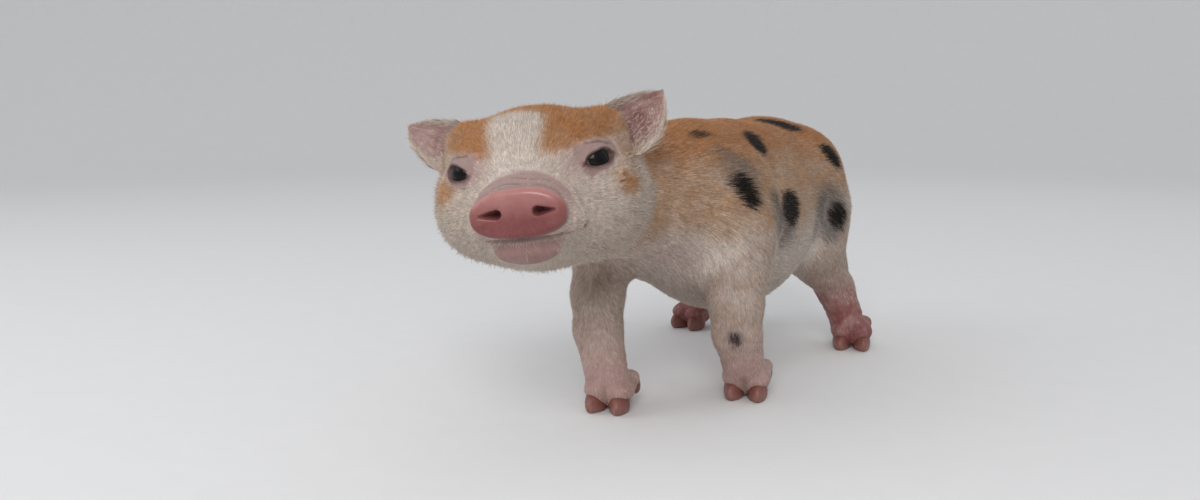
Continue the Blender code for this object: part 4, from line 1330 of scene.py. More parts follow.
def hair_streaks_group():
    """Fine streaks that run along the lie of the coat."""
    group, nodes, _, out = new_group(
        "Hair Streaks", [], [("Height", "NodeSocketFloat"), ("Tone", "NodeSocketFloat")],
    )
    lie = nodes.add("ShaderNodeUVMap", uv_map="Lie").outputs["UV"]
    coarse = nodes.noise(nodes.stretched(lie, (150.0, 22.0, 1.0)), 1.0, 3.0, 0.55)
    thin = nodes.noise(nodes.stretched(lie, (420.0, 45.0, 1.0)), 1.0, 2.0, 0.5)
    clumps = nodes.noise(nodes.stretched(lie, (55.0, 18.0, 1.0)), 1.0, 2.0, 0.5)
    both = nodes.math("ADD", nodes.math("MULTIPLY", coarse, 0.6), nodes.math("MULTIPLY", thin, 0.4))
    nodes.link(both, out.inputs["Height"])
    tone = nodes.math("ADD", nodes.math("MULTIPLY", both, 0.65), nodes.math("MULTIPLY", clumps, 0.35))
    nodes.link(nodes.spread(tone, 0.32, 0.68, 0.0, 1.0), out.inputs["Tone"])
    return group


def skin_colours_group():
    """The bare skin's colours, from pink to dusky, flushed and moist, with painted shade on the disc's
    lower part and in the hollows.
    """
    group, nodes, given, out = new_group(
        "Bare Skin Colours", [(name, "NodeSocketColor") for name in SKIN_COLOURS],
        [("Color", "NodeSocketColor")],
    )
    place = nodes.add("ShaderNodeTexCoord").outputs["Object"]
    blotch = nodes.noise(place, 140.0, 3.0, 0.6)
    colour = nodes.mix(nodes.value("Dusky"), given.outputs["Pink"], given.outputs["Dusky"])
    blotched = nodes.spread(blotch, 0.3, 0.7, 0.55, 1.25)
    flushed = nodes.math("MULTIPLY", nodes.value("Flush"), blotched, clamp=True)
    colour = nodes.mix(flushed, colour, given.outputs["Flush"])
    # Lower on the disc the flush colour takes over, with a little random unevenness: painted shade
    uneven = nodes.spread(blotch, 0.35, 0.65, -0.08, 0.12)
    low = nodes.math("ADD", uneven, nodes.value("Flush"), clamp=True)
    disc = nodes.mix(low, given.outputs["Disc"], given.outputs["Flush"])
    colour = nodes.mix(nodes.value("Wet"), colour, disc)
    # Painted shade darkens the nostrils, the lids' rim and crease, the folds' valleys, the disc's edge,
    # the mouth's line and the ears' cups
    nodes.link(nodes.mix(nodes.value("Pit"), colour, given.outputs["Painted_shade"]), out.inputs["Color"])
    return group


def set_inputs(node, values):
    """Sets plain values on a node's sockets."""
    for name, value in values.items():
        node.inputs[name].default_value = value


def place_group(nodes, group, values=None):
    """A group placed in a material with its own values."""
    node = nodes.add("ShaderNodeGroup", node_tree=group)
    set_inputs(node, values or {})
    return node


def new_material(name):
    """A material, with short calls for its tree, and its shader."""
    material = bpy.data.materials.new(name)
    material.use_nodes = True
    shader = material.node_tree.nodes["Principled BSDF"]
    return material, Nodes(material.node_tree), shader


def user_colours(settings, names):
    """The colours that a user set, by their sockets' names."""
    return {name: (*getattr(settings, name.lower()), 1) for name in names}


def coat_colours(nodes, groups):
    """The coat's colour with the user's own values."""
    values = user_colours(bpy.context.scene.piglet_coat, COAT_COLOURS)
    return place_group(nodes, groups["coat"], values).outputs["Color"]


def shared_groups():
    """The shader groups, built once."""
    if "Coat Colours" not in bpy.data.node_groups:
        coat_colours_group()
        hair_streaks_group()
        skin_colours_group()
    names = {"coat": "Coat Colours", "hair": "Hair Streaks", "skin": "Bare Skin Colours"}
    return {key: bpy.data.node_groups[name] for key, name in names.items()}


def skin_material():
    """Short hair over pink skin, bare and moist where the masks say."""
    groups = shared_groups()
    material, nodes, shader = new_material("Piglet skin")
    hair = place_group(nodes, groups["hair"])
    bare_colours = user_colours(bpy.context.scene.piglet_skin, SKIN_COLOURS)
    bare_skin = place_group(nodes, groups["skin"], bare_colours).outputs["Color"]
    coat = coat_colours(nodes, groups)
    shade = nodes.mix(nodes.spread(hair.outputs["Tone"], 0, 1, 0.30, 0.0), coat, bare_skin)
    streaked = nodes.spread(hair.outputs["Tone"], 0, 1, 0.12, -0.10)
    cover = nodes.math("ADD", nodes.value("Bare"), streaked, clamp=True)
    dark = nodes.math("MAXIMUM", nodes.value("Black"), nodes.value("Grey"))
    cover = nodes.math("MULTIPLY", cover, nodes.spread(dark, 0, 1, 1.0, 0.15))
    nodes.link(nodes.mix(cover, shade, bare_skin), shader.inputs["Base Color"])
    place = nodes.add("ShaderNodeTexCoord").outputs["Object"]
    pores = nodes.noise(place, 1500.0, 2.0, 0.6)
    creases = nodes.add("ShaderNodeTexVoronoi", feature="DISTANCE_TO_EDGE")
    nodes.link(place, creases.inputs["Vector"])
    creases.inputs["Scale"].default_value = 620.0
    creased = nodes.math("MULTIPLY", creases.outputs["Distance"], 0.8)
    grain = nodes.math("ADD", nodes.math("MULTIPLY", pores, 0.5), creased)
    haired = nodes.math("SUBTRACT", 1.0, nodes.value("Bare"), clamp=True)
    fur = nodes.math("MULTIPLY", hair.outputs["Height"], haired)
    normal = nodes.bump(fur, 0.75, 0.0007)
    normal = nodes.bump(nodes.math("MULTIPLY", grain, nodes.value("Bare")), 0.30, 0.00022, normal)
    nodes.link(normal, shader.inputs["Normal"])
    moist = nodes.math("SUBTRACT", nodes.value("Wet"), nodes.value("Pit"), clamp=True)
    nodes.link(nodes.spread(moist, 0, 1, 0.60, 0.33), shader.inputs["Roughness"])
    nodes.link(nodes.math("MULTIPLY", moist, 0.35), shader.inputs["Coat Weight"])
    set_inputs(shader, {
        "Coat Roughness": 0.16, "Subsurface Weight": 0.22, "Subsurface Radius": (1.0, 0.35, 0.22),
        "Subsurface Scale": 0.0022, "Specular IOR Level": 0.25, "Sheen Weight": 0.04,
    })
    return material


# Painted shade at the hairs' roots, where they lie close to the skin
SHADED_HAIR_ROOT = (0.74, 0.66, 0.60, 1)
HAIR_TIP = (1.0, 1.0, 0.98, 1)


def coat_material():
    """The tufts' hair, with painted shade towards the root and paler at the tip."""
    groups = shared_groups()
    material, nodes, shader = new_material("Piglet coat")
    colour = coat_colours(nodes, groups)
    grown = nodes.mix(nodes.value("Along"), SHADED_HAIR_ROOT, HAIR_TIP)
    tone = nodes.spread(nodes.value("Tone"), 0, 1, 0.68, 1.45)
    grown = nodes.mix(1.0, grown, nodes.shade(tone), "MULTIPLY")
    nodes.link(nodes.mix(1.0, colour, grown, "MULTIPLY"), shader.inputs["Base Color"])
    set_inputs(shader, {"Roughness": 0.58, "Specular IOR Level": 0.10, "Subsurface Weight": 0.0})
    return material


def finish_piece(obj, material, slot, *nodes):
    """Gives a finished piece its material and its place in the frame; the slot is not used."""
    obj.data.materials.clear()
    obj.data.materials.append(material)
    obj.data.shade_smooth()
    if nodes:
        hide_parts(*nodes)
    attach(obj, "root")


FINDER = EarFinder()
FEET_BELOW = 0.028
EYE_VEINS = (0.30, 0.10, 0.08, 1)
PUPIL_BLACK = (0.003, 0.003, 0.004, 1)
IRIS_EDGE = (0.012, 0.008, 0.008, 1)


def head_places(skin):
    """The skin's points in the head's frame and in the eye's, and their distance from the eye."""
    own = seen_from(mesh_points(skin.data), HEAD_FRAME)
    sides = both_sides(own)
    return own, seen_from(sides, EYE_FRAME), size_of(sides - np.array(EYE_CENTRE))


def sculpt_face(skin):
    """Refines the face, then its lids, lips and disc, then their rims, and draws them all again."""
    own, _, _ = head_places(skin)
    refine(skin, (own[:, 1] < 0.034) & (size_of(own) < 0.085))
    own, _, _ = head_places(skin)
    draw_onto(skin, skin_form, 2, moving=(own[:, 1] < 0.036) & (size_of(own) < 0.088))

    own, _, eye_gap = head_places(skin)
    lips = (line_distance(own, MOUTH) < 0.003) & (own[:, 1] < -0.010)
    refine(skin, ((own[:, 1] < -0.034) | (eye_gap < 0.0155) | lips) & (size_of(own) < 0.08))
    own, _, eye_gap = head_places(skin)
    near = (own[:, 1] < -0.030) | (eye_gap < 0.017) | (line_distance(own, MOUTH) < 0.004)
    draw_onto(skin, skin_form, 3, moving=near & (size_of(own) < 0.08), even=0.35, steps=3)

    own, eye_own, _ = head_places(skin)
    out = size_of(eye_own)
    rims = (np.abs(lid_gap(eye_own)) < 0.0018) & (out < 0.012) & (out > 0.006)
    rims |= (nostrils(own)[1] < 0.0012) & (own[:, 1] < -0.052)
    rims |= mesh_points(skin.data)[:, 2] < FEET_BELOW
    refine(skin, rims)
    own, eye_own, _ = head_places(skin)
    near = (size_of(eye_own) < 0.0125) | (own[:, 1] < -0.051)
    near |= mesh_points(skin.data)[:, 2] < FEET_BELOW + 0.002
    draw_onto(skin, skin_form, 3, moving=near, even=0.35, steps=3)


def make_skin():
    """The one skin of the piglet, in place of every node of flesh."""
    skin = rough_skin(bpy.context.scene.piglet_skin.fineness)
    draw_onto(skin, skin_form, 5, even=0.6)
    sculpt_face(skin)
    press_nostrils(skin)
    join_ears(skin)
    smooth_ear_roots(skin, FINDER)
    turn_outwards(skin)
    places = Places(mesh_points(skin.data), FINDER)
    for name, values in markings(places, point_normals(skin.data)).items():
        set_float(skin.data, name, values)
    set_lie_map(skin.data, places)
    flesh = [name for name in frame["nodes"] if not name.startswith(("eye", "claw", "dewclaw"))]
    finish_piece(skin, skin_material(), "coat", *flesh)
    return skin


def eye_material():
    """A wet dark eye."""
    settings = bpy.context.scene.piglet_eyes
    material, nodes, shader = new_material("Piglet eye")
    gaze = nodes.value("Gaze")
    iris_map = nodes.add("ShaderNodeUVMap", uv_map="Iris").outputs["UV"]
    fibres = nodes.noise(nodes.stretched(iris_map, (60.0, 5.0, 1.0)), 1.0, 3.0, 0.6)
    dark, light = (*settings.iris, 1), (*settings.iris_light, 1)
    iris = nodes.mix(nodes.spread(fibres, 0.3, 0.7, 0.0, 1.0), dark, light)
    white = nodes.mix(nodes.spread(fibres, 0.35, 0.7, 0.0, 0.5), (*settings.white, 1), EYE_VEINS)
    colour, reach = PUPIL_BLACK, settings.iris_reach
    for start, end, outer in (
        (settings.pupil, settings.pupil + 0.03, iris), (reach - 0.05, reach, IRIS_EDGE),
        (reach, reach + 0.07, white),
    ):
        colour = nodes.mix(nodes.spread(gaze, start, end, 0.0, 1.0), colour, outer)
    nodes.link(colour, shader.inputs["Base Color"])
    set_inputs(shader, {
        "Roughness": 0.30, "Specular IOR Level": 0.05, "Coat Weight": 0.35, "Coat Roughness": 0.05,
        "Coat IOR": 1.38,
    })
    return material


def new_ball(name, segments, rings, radius):
    """A plain ball, to be shaped."""
    bpy.ops.object.select_all(action="DESELECT")
    bpy.ops.mesh.primitive_uv_sphere_add(segments=segments, ring_count=rings, radius=radius)
    obj = bpy.context.object
    obj.name = obj.data.name = name
    return obj


def make_eye(side, material):
    """An eyeball with a raised cornea, turned to where the eye looks."""
    eye = new_ball("eyeball_" + side, 72, 48, EYE_RADIUS)
    bpy.ops.object.mode_set(mode="EDIT")
    bpy.ops.mesh.select_all(action="SELECT")
    bpy.ops.transform.rotate(value=math.radians(90), orient_axis="X", center_override=(0, 0, 0))
    bpy.ops.object.mode_set(mode="OBJECT")
    points = mesh_points(eye.data)
    gaze = np.arccos(np.clip(points[:, 1] / size_of(points), -1, 1))
    points *= (1 + CORNEA_RISE * (1 - ramp(gaze, 0.30, 0.78)))[:, None]
    turn = np.arctan2(points[:, 0], points[:, 2]) / (2 * math.pi)
    set_points(eye.data, placed(points, SIDE_FRAMES[side] @ EYE_FRAME))
    turn_outwards(eye)
    set_float(eye.data, "Gaze", gaze / math.pi)
    set_round_map(eye.data, "Iris", turn, gaze)
    finish_piece(eye, material, "eye", "eye_" + side)


def claw_material():
    """Smooth pinkish horn, paler at the tip."""
    settings = bpy.context.scene.piglet_claws
    material, nodes, shader = new_material("Piglet claw horn")
    grain_map = nodes.add("ShaderNodeUVMap", uv_map="Grain").outputs["UV"]
    streaks = nodes.noise(nodes.stretched(grain_map, (26.0, 2.5, 1.0)), 1.0, 3.0, 0.6)
    rings = nodes.noise(nodes.stretched(grain_map, (2.0, 22.0, 1.0)), 1.0, 2.0, 0.5)
    tip = nodes.spread(nodes.value("Tipward"), 0.45, 0.95, 0.0, 1.0)
    colour = nodes.mix(tip, (*settings.horn, 1), (*settings.tip, 1))
    colour = nodes.mix(nodes.spread(streaks, 0.35, 0.75, 0.0, 0.55), colour, (*settings.streak, 1))
    nodes.link(colour, shader.inputs["Base Color"])
    nodes.link(nodes.spread(streaks, 0.3, 0.7, 0.36, 0.52), shader.inputs["Roughness"])
    nodes.link(nodes.bump(nodes.math("ADD", streaks, rings), 0.35, 0.00015), shader.inputs["Normal"])
    set_inputs(shader, {"Subsurface Weight": 0.10, "Subsurface Scale": 0.001})
    return material


def make_claw(name, place, dew, material):
    """One claw with faint growth rings and a flat sole, in place of its solid."""
    claw = new_ball("horn_" + name, 40, 28, 1)
    points = mesh_points(claw.data)
    turn = np.arctan2(points[:, 0], -points[:, 1]) / (2 * math.pi)
    level = points[:, 2].copy()
    if dew:
        lean = Matrix.Rotation(math.radians(DEWCLAW_LEAN), 4, "X")
        own = place @ Matrix.Translation(DEWCLAW_CENTRE) @ lean
        tipward = 0.5 - 0.5 * level
        points = points * np.array(DEWCLAW_HALF)
    else:
        toe_in = Matrix.Rotation(math.radians(CLAW_TOE_IN), 4, "Z")
        own = place @ Matrix.Translation(CLAW_CENTRE) @ toe_in
        tipward = 0.5 + 0.5 * np.clip(0.75 * -points[:, 1] - 0.75 * level, -1, 1)
        front = np.maximum(0, -points[:, 1])
        half = np.array(CLAW_HALF)
        points = np.column_stack((
            points[:, 0] * half[0] * (1 - CLAW_NARROWS * front), points[:, 1] * half[1],
            points[:, 2] * half[2] * (1 - CLAW_LOWERS * front),
        ))
    rings = 1 + CLAW_RINGS * np.sin(24 * level) * (1 - level * level)
    points = placed(points * np.column_stack((rings, rings, np.ones(len(rings)))), own)
    if not dew:
        points[:, 2] = np.maximum(points[:, 2], 0)
    set_points(claw.data, points)
    turn_outwards(claw)
    set_float(claw.data, "Tipward", tipward)
    set_round_map(claw.data, "Grain", turn, 0.5 * level)
    finish_piece(claw, material, "claw", name)


# How far along each kind of tuft its rings of three points lie
TUFT_RINGS = {"long": (0.0, 0.5), "short": (0.0,)}
# Where the points stand round a ring, how flat a ring is, how much narrower the second is, how
# far the root is sunk in widths, how much the tuft bends, and what its upper shading follows
TUFT_TURNS = (-150, -30, 90)
TUFT_FLATNESS = 0.55
TUFT_NARROWS = 0.78
TUFT_SUNK = 0.35
TUFT_BEND = 0.55
TUFT_SHADING = (0.58, 0.42)
LOWEST = 0.0003
PATCH_SIZE = 0.003
MOST_TRIANGLES = 190000
# How the tufts of one piece differ, and the few that stand up more
LENGTH_RANGE, WIDTH_RANGE, LIFT_RANGE = (0.7, 1.25), (0.6, 1.5), (0.6, 1.4)
STRAY_SHARE, STRAY_LIFT = 0.08, 2.0


def tuft_shape(kind):
    """A tuft's rings, its faces, their corners on its patch of the map, and which are below."""
    steps = TUFT_RINGS[kind]
    faces = [(2, 1, 0)]
    below = [True] * 3
    patch = [(0.5, 0.0), (0.3, 0.0), (0.1, 0.0)]
    for ring, start in enumerate(steps):
        for side in range(3):
            low, after = 3 * ring + side, 3 * ring + (side + 1) % 3
            left, right = side / 3, (side + 1) / 3
            patch += [(left, start), (right, start)]
            if ring < len(steps) - 1:
                faces.append((low, after, after + 3, low + 3))
                patch += [(right, steps[ring + 1]), (left, steps[ring + 1])]
            else:
                faces.append((low, after, 3 * len(steps)))
                patch.append((0.5 * (left + right), 1.0))
            below += [side == 0] * len(faces[-1])
    return steps, faces, np.array(patch), np.array(below)


def atlas(places):
    """Each root's place on an unwrap of the skin's own shape, part beside part."""
    coordinates = unrolled(places)
    charts = np.unique(places.chart)
    across_count = math.ceil(math.sqrt(len(charts)))
    result = np.zeros_like(coordinates)
    for number, chart in enumerate(charts):
        inside = places.chart == chart
        cell = np.array((number % across_count, number // across_count))
        result[inside] = (cell + 0.03 + 0.94 * filled(coordinates[inside])) / across_count
    return PATCH_SIZE + (1 - 2 * PATCH_SIZE) * result


def filled(coordinates):
    """Coordinates stretched to fill the range from 0 to 1 both ways."""
    low, high = coordinates.min(axis=0), coordinates.max(axis=0)
    return (coordinates - low) / np.maximum(high - low, 1e-6)


def build_tufts(name, kind, growth, material):
    """One joined mesh of tufts, from their roots, directions and sizes."""
    steps, faces, patch, below = tuft_shape(kind)
    roots, normal, lie = growth["roots"], growth["normals"], growth["lie"]
    length, width, lift = growth["length"], growth["width"], growth["lift"]
    count = len(roots)
    side = unit(np.cross(normal, lie))
    rows = []
    for step in (*steps, 1.0):
        rise = lift * step - TUFT_BEND * lift * step * step
        centre = roots + (length * step)[:, None] * lie
        centre += (length * rise - (1 - step) * TUFT_SUNK * width)[:, None] * normal
        if step == 1.0:
            rows.append(centre)
            continue
        thick = 0.5 * width * (1.0 if step == 0 else TUFT_NARROWS)
        for turn in TUFT_TURNS:
            across, up = math.cos(math.radians(turn)), math.sin(math.radians(turn))
            rows.append(centre + thick[:, None] * (across * side + TUFT_FLATNESS * up * normal))
    points = np.stack(rows, axis=1).reshape(-1, 3)
    points[:, 2] = np.maximum(points[:, 2], LOWEST)
    each = len(rows)
    sizes = np.tile([len(face) for face in faces], count)
    one_tuft = np.array([corner for face in faces for corner in face])
    corners = (one_tuft[None, :] + (np.arange(count) * each)[:, None]).ravel()
    data = bpy.data.meshes.new(name)
    data.vertices.add(len(points))
    data.vertices.foreach_set("co", points.astype(np.float32).ravel())
    data.loops.add(len(corners))
    data.loops.foreach_set("vertex_index", corners.astype(np.int32))
    data.polygons.add(len(sizes))
    data.polygons.foreach_set("loop_start", (np.cumsum(sizes) - sizes).astype(np.int32))
    data.update(calc_edges=True)
    data.validate()
    for mask in (*COAT_COLOURS[1:], "Tone"):
        set_float(data, mask, np.repeat(growth[mask], each))
    along = np.repeat((*steps, 1.0), [3] * len(steps) + [1])
    set_float(data, "Along", np.tile(along, count))
    bake_map = growth["atlas"][:, None, :] + PATCH_SIZE * (patch[None, :, :] - 0.5)
    layer = data.uv_layers.new(name="OFBake")
    layer.data.foreach_set("uv", bake_map.reshape(-1, 2).ravel())
    obj = add_object(name, data)
    finish_piece(obj, material, "coat")
    turns = np.concatenate([np.radians(TUFT_TURNS)] * len(steps) + [[math.pi / 2]])
    outward = np.cos(turns)[None, :, None] * side[:, None, :]
    outward = outward + np.sin(turns)[None, :, None] * normal[:, None, :]
    above = (TUFT_SHADING[0] * normal[:, None, :] + TUFT_SHADING[1] * outward)[:, one_tuft]
    shading = np.where(below[None, :, None], -normal[:, None, :], above)
    data.normals_split_custom_set(unit(shading.reshape(-1, 3)).tolist())


def lie_of_coat(places, normals):
    """The way that the hair lies at each point, along the skin."""
    points = places.points
    flows = {"trunk": np.tile((0, 1.0, -0.20), (len(points), 1))}
    away = unit(places.own - HEAD_HEART)
    from_snout = np.array((0, 1.0, 0)) + away * (-away[:, 1])[:, None]
    turn = np.array(HEAD_IN_TRUNK.to_3x3())
    flows["head"] = unit(from_snout) @ turn.T
    for leg in LEGS:
        flows[leg] = np.tile((0, 0.45, -1.0), (len(points), 1))
    flows["tail"] = np.tile((0.15, 0.25, -1.0), (len(points), 1))
    least = np.min(np.stack(list(places.gaps.values())), axis=0)
    total = np.zeros_like(points)
    for name, flow in flows.items():
        total += np.exp(-(places.gaps[name] - least) / 0.006)[:, None] * flow
    for number, side in enumerate(EARS):
        reach = SIDE_FRAMES[side].to_3x3() @ (EARS[side][0] - EAR_ROOT)
        on_this = places.on_ear() & (places.ear[:, 1] == number)
        total[on_this] = np.array(reach.normalized())
    total -= np.einsum("ij,ij->i", total, normals)[:, None] * normals
    return unit(total)


class SkinSampler:
    """Picks random roots on the skin."""

    def __init__(self, skin, seed):
        data = skin.data
        data.calc_loop_triangles()
        corners = np.empty(len(data.loop_triangles) * 3, np.int64)
        data.loop_triangles.foreach_get("vertices", corners)
        self.corners = corners.reshape(-1, 3)
        self.points = mesh_points(data)
        self.normals = point_normals(data)
        a, b, c = (self.points[self.corners[:, k]] for k in range(3))
        self.areas = 0.5 * size_of(np.cross(b - a, c - a))
        self.centres = (a + b + c) / 3
        self.random = np.random.default_rng(seed)
        self.masks = {}
        for name in ("Bare", "Wet"):
            values = np.empty(len(data.vertices), np.float32)
            data.attributes[name].data.foreach_get("value", values)
            self.masks[name] = values

    def of_triangles(self, name):
        """A mask's mean on each triangle."""
        return self.masks[name][self.corners].mean(axis=1)

    def roots(self, count, weight):
        """Random roots, more where the weight is larger, with their normals."""
        chance = self.areas * weight
        picked = self.random.choice(len(chance), count, p=chance / chance.sum())
        share = self.random.random((count, 2))
        share = np.where(share.sum(axis=1)[:, None] > 1, 1 - share, share)
        three = np.column_stack((1 - share.sum(axis=1), share))
        corners = self.corners[picked]
        roots = np.einsum("ij,ijk->ik", three, self.points[corners])
        normals = unit(np.einsum("ij,ijk->ik", three, self.normals[corners]))
        return roots, normals


def turned_about(vectors, axes, angles):
    """Each vector turned about its own axis, which it is square to."""
    return np.cos(angles)[:, None] * vectors + np.sin(angles)[:, None] * np.cross(axes, vectors)


def grow_coat(region, kind, count, weight, shaping, sampler, material):
    """Grows one region's tufts, as pieces that each stay small enough."""
    random = sampler.random
    roots, normals = sampler.roots(count, weight)
    places = Places(roots, FINDER)
    masks = markings(places, normals)
    shape = shaping(places, masks)
    sway = np.radians(shape["sway"]) * random.standard_normal(count)
    growth = {
        "roots": roots, "normals": normals, "atlas": atlas(places),
        "lie": turned_about(lie_of_coat(places, normals), normals, sway),
        "length": shape["length"] * random.uniform(*LENGTH_RANGE, count),
        "width": shape["width"] * random.uniform(*WIDTH_RANGE, count),
        "lift": shape["lift"] * random.uniform(*LIFT_RANGE, count),
    }
    stray = random.random(count) < STRAY_SHARE
    growth["lift"] = growth["lift"] * np.where(stray, shape.get("stray", STRAY_LIFT), 1)
    growth["Tone"] = 0.5 + (random.random(count) - 0.5) * shape.get("contrast", 1.0)
    for name, apart in (("Tan", 0.55), ("Ginger", 0.4), ("Grey", 0.5), ("Black", 0.9)):
        chance = ramp(masks[name] - random.uniform(0.15, 0.85, count), -0.15, 0.15)
        growth[name] = (1 - apart) * masks[name] + apart * chance
    each = sum(len(face) - 2 for face in tuft_shape(kind)[1])
    pieces = math.ceil(count * each / MOST_TRIANGLES)
    order = np.argsort(growth["atlas"][:, 1])
    for number, chosen in enumerate(np.array_split(order, pieces)):
        part = {name: values[chosen] for name, values in growth.items()}
        part["atlas"] = PATCH_SIZE + (1 - 2 * PATCH_SIZE) * filled(part["atlas"])
        build_tufts(f"coat_{region}_{number + 1}", kind, part, material)


def shape_face(places, masks):
    """Short hair on the face, longer on the cheeks and the jowl."""
    coat = bpy.context.scene.piglet_coat
    own = places.own
    jowl = ramp(own[:, 1], -0.024, 0.010) * ramp(-own[:, 2], -0.012, 0.012)
    crown = ramp(own[:, 2], 0.012, 0.026)
    length = coat.face_length * (0.75 + 1.5 * jowl + 0.35 * crown)
    return {
        "length": length * (1 - 0.45 * masks["Bare"]), "width": coat.face_width * (0.8 + 0.5 * jowl),
        "lift": 0.30 + 0.28 * jowl + 0.16 * crown, "sway": 9 + 6 * jowl,
    }


def shape_jowl(places, masks):
    """Long soft hair that stands out along the cheeks' edge."""
    coat = bpy.context.scene.piglet_coat
    count = len(places.points)
    return {
        "length": np.full(count, 1.8 * coat.face_length),
        "width": np.full(count, 0.75 * coat.face_width),
        "lift": 0.62, "sway": 11.0, "contrast": 0.4, "stray": 1.0,
    }


def shape_bristles(places, masks):
    """A few long thin bristles round the mouth."""
    count = len(places.points)
    return {
        "length": np.full(count, 0.0068), "width": np.full(count, 0.00016), "lift": 1.1, "sway": 20.0,
        "contrast": 0.3,
    }


def shape_body(places, masks):
    """Flat hair on the trunk and the neck."""
    coat = bpy.context.scene.piglet_coat
    length = coat.body_length * (1 - 0.35 * masks["Bare"])
    neck = ramp(-places.points[:, 1], 0.085, 0.115)
    return {
        "length": length * (1 - 0.15 * neck), "width": np.full(len(length), coat.body_width),
        "lift": 0.17 + 0.05 * neck, "sway": 8.0,
    }


def shape_legs(places, masks):
    """Short sparse hair on the legs and the tail."""
    coat = bpy.context.scene.piglet_coat
    length = coat.leg_length * (0.55 + 0.45 * ramp(places.points[:, 2], 0.015, 0.06))
    return {"length": length, "width": np.full(len(length), coat.leg_width), "lift": 0.24, "sway": 12.0}


def shape_ears(places, masks):
    """Fine hair on the ears, longest along their edges."""
    coat = bpy.context.scene.piglet_coat
    rim = ramp(np.abs(places.ear[:, 3]), 0.75, 1.0)
    front = ramp(-places.ear[:, 3], 0.0, 1.0) * ramp(-places.ear[:, 2], -0.5, -0.1)
    length = coat.leg_length * (0.55 + 0.40 * rim + 0.5 * front)
    length *= 1 - 0.45 * ramp(places.ear[:, 2], 0.6, 1.0)
    return {
        "length": length, "width": np.full(len(length), coat.face_width),
        "lift": 0.30 + 0.25 * rim, "sway": 16.0,
    }


def make_coat(skin):
    """The tufts of every region, over the skin."""
    coat = bpy.context.scene.piglet_coat
    sampler = SkinSampler(skin, coat.seed)
    material = coat_material()
    places = Places(sampler.centres, FINDER)
    own, chart, ear = places.own, places.chart, places.ear
    not_wet = 1 - sampler.of_triangles("Wet")
    haired = np.clip(1.05 - 1.15 * sampler.of_triangles("Bare"), 0, 1) * not_wet
    eye_own = seen_from(both_sides(own), EYE_FRAME)
    haired = haired * np.where(size_of(eye_own) < 0.014, ramp(lid_gap(eye_own), 0.0016, 0.0030), 1)
    on_head = (chart == CHART_NUMBERS["head"]).astype(float)
    on_trunk = (chart == CHART_NUMBERS["trunk"]).astype(float)
    on_leg = ((chart >= CHART_NUMBERS["fore_left"]) & (chart <= CHART_NUMBERS["tail"])).astype(float)
    on_ear = (chart >= EAR_CHARTS).astype(float)
    forward = ramp(-own[:, 1], -0.035, -0.005)
    edge = ramp(own[:, 1], -0.010, 0.002) * (1 - ramp(own[:, 1], 0.022, 0.032))
    edge *= ramp(np.maximum(np.abs(own[:, 0]) - 0.030, -0.022 - own[:, 2]), 0.0, 0.008)
    low = 1 - ramp(own[:, 2], 0.004, 0.016)
    bristly = hump(own[:, 1], -0.034, 0.009) * not_wet * on_head
    bristly = bristly * (0.25 + ramp(-own[:, 2], 0.006, 0.018))
    rim = ramp(np.abs(ear[:, 3]), 0.7, 1.0)
    inner = (chart == CHART_NUMBERS["ear_left_front"]) | (chart == CHART_NUMBERS["ear_right_front"])
    near_cheek = ramp(-ear[:, 3], 0.2, 0.9) + 0.5 * (1 - ramp(ear[:, 2], 0.15, 0.45))
    eared = on_ear * np.where(inner, 0.05 + 0.12 * near_cheek + 0.28 * rim, 0.30 + 0.4 * rim)
    for region, kind, count, weight, shaping in (
        ("face", "short", coat.face_tufts, haired * on_head * (0.4 + forward), shape_face),
        ("body", "short", coat.body_tufts, haired * on_trunk, shape_body),
        ("jowl", "long", coat.jowl_tufts, haired * on_head * edge * low, shape_jowl),
        ("bristles", "long", coat.bristles, bristly, shape_bristles),
        ("legs", "short", coat.leg_tufts, haired * on_leg, shape_legs),
        ("ears", "short", coat.ear_tufts, eared, shape_ears),
    ):
        grow_coat(region, kind, count, weight, shaping, sampler, material)


def floor_material():
    """Plain pale floor."""
    stage = bpy.context.scene.piglet_stage
    material, nodes, shader = new_material("Studio floor")
    place = nodes.add("ShaderNodeTexCoord").outputs["Object"]
    speckle = nodes.noise(place, 60.0, 3.0, 0.6)
    shade = nodes.mix(nodes.spread(speckle, 0.3, 0.7, 0.0, 0.06), (*stage.floor, 1), (0.5, 0.5, 0.5, 1))
    nodes.link(shade, shader.inputs["Base Color"])
    shader.inputs["Roughness"].default_value = 0.8
    return material


FLOOR_RADIUS = 1.6
FLOOR_RIM = 1.0
FLOOR_STEPS = 12
LIT_POINT = (0, -0.05, 0.09)


def make_floor():
    """A round pale floor whose edge rises all round."""
    bpy.ops.object.select_all(action="DESELECT")
    bpy.ops.mesh.primitive_circle_add(vertices=96, radius=FLOOR_RADIUS, fill_type="NGON")
    floor = bpy.context.object
    floor.name = floor.data.name = "studio_floor"
    bpy.ops.object.mode_set(mode="EDIT")
    bpy.ops.mesh.select_all(action="SELECT")
    bpy.ops.mesh.select_mode(type="EDGE")
    bpy.ops.mesh.region_to_loop()
    radius = FLOOR_RADIUS
    bend = math.radians(90 / FLOOR_STEPS)
    for step in range(1, FLOOR_STEPS + 1):
        angle = bend * step
        grown = FLOOR_RADIUS + FLOOR_RIM * math.sin(angle)
        rise = FLOOR_RIM * (math.cos(angle - bend) - math.cos(angle))
        bpy.ops.mesh.extrude_edges_move(TRANSFORM_OT_translate={"value": (0, 0, rise)})
        bpy.ops.transform.resize(value=(grown / radius, grown / radius, 1), center_override=(0, 0, 0))
        radius = grown
    bpy.ops.mesh.select_all(action="SELECT")
    bpy.ops.mesh.normals_make_consistent(inside=False)
    bpy.ops.object.mode_set(mode="OBJECT")
    floor.data.materials.append(floor_material())
    floor.data.shade_smooth()


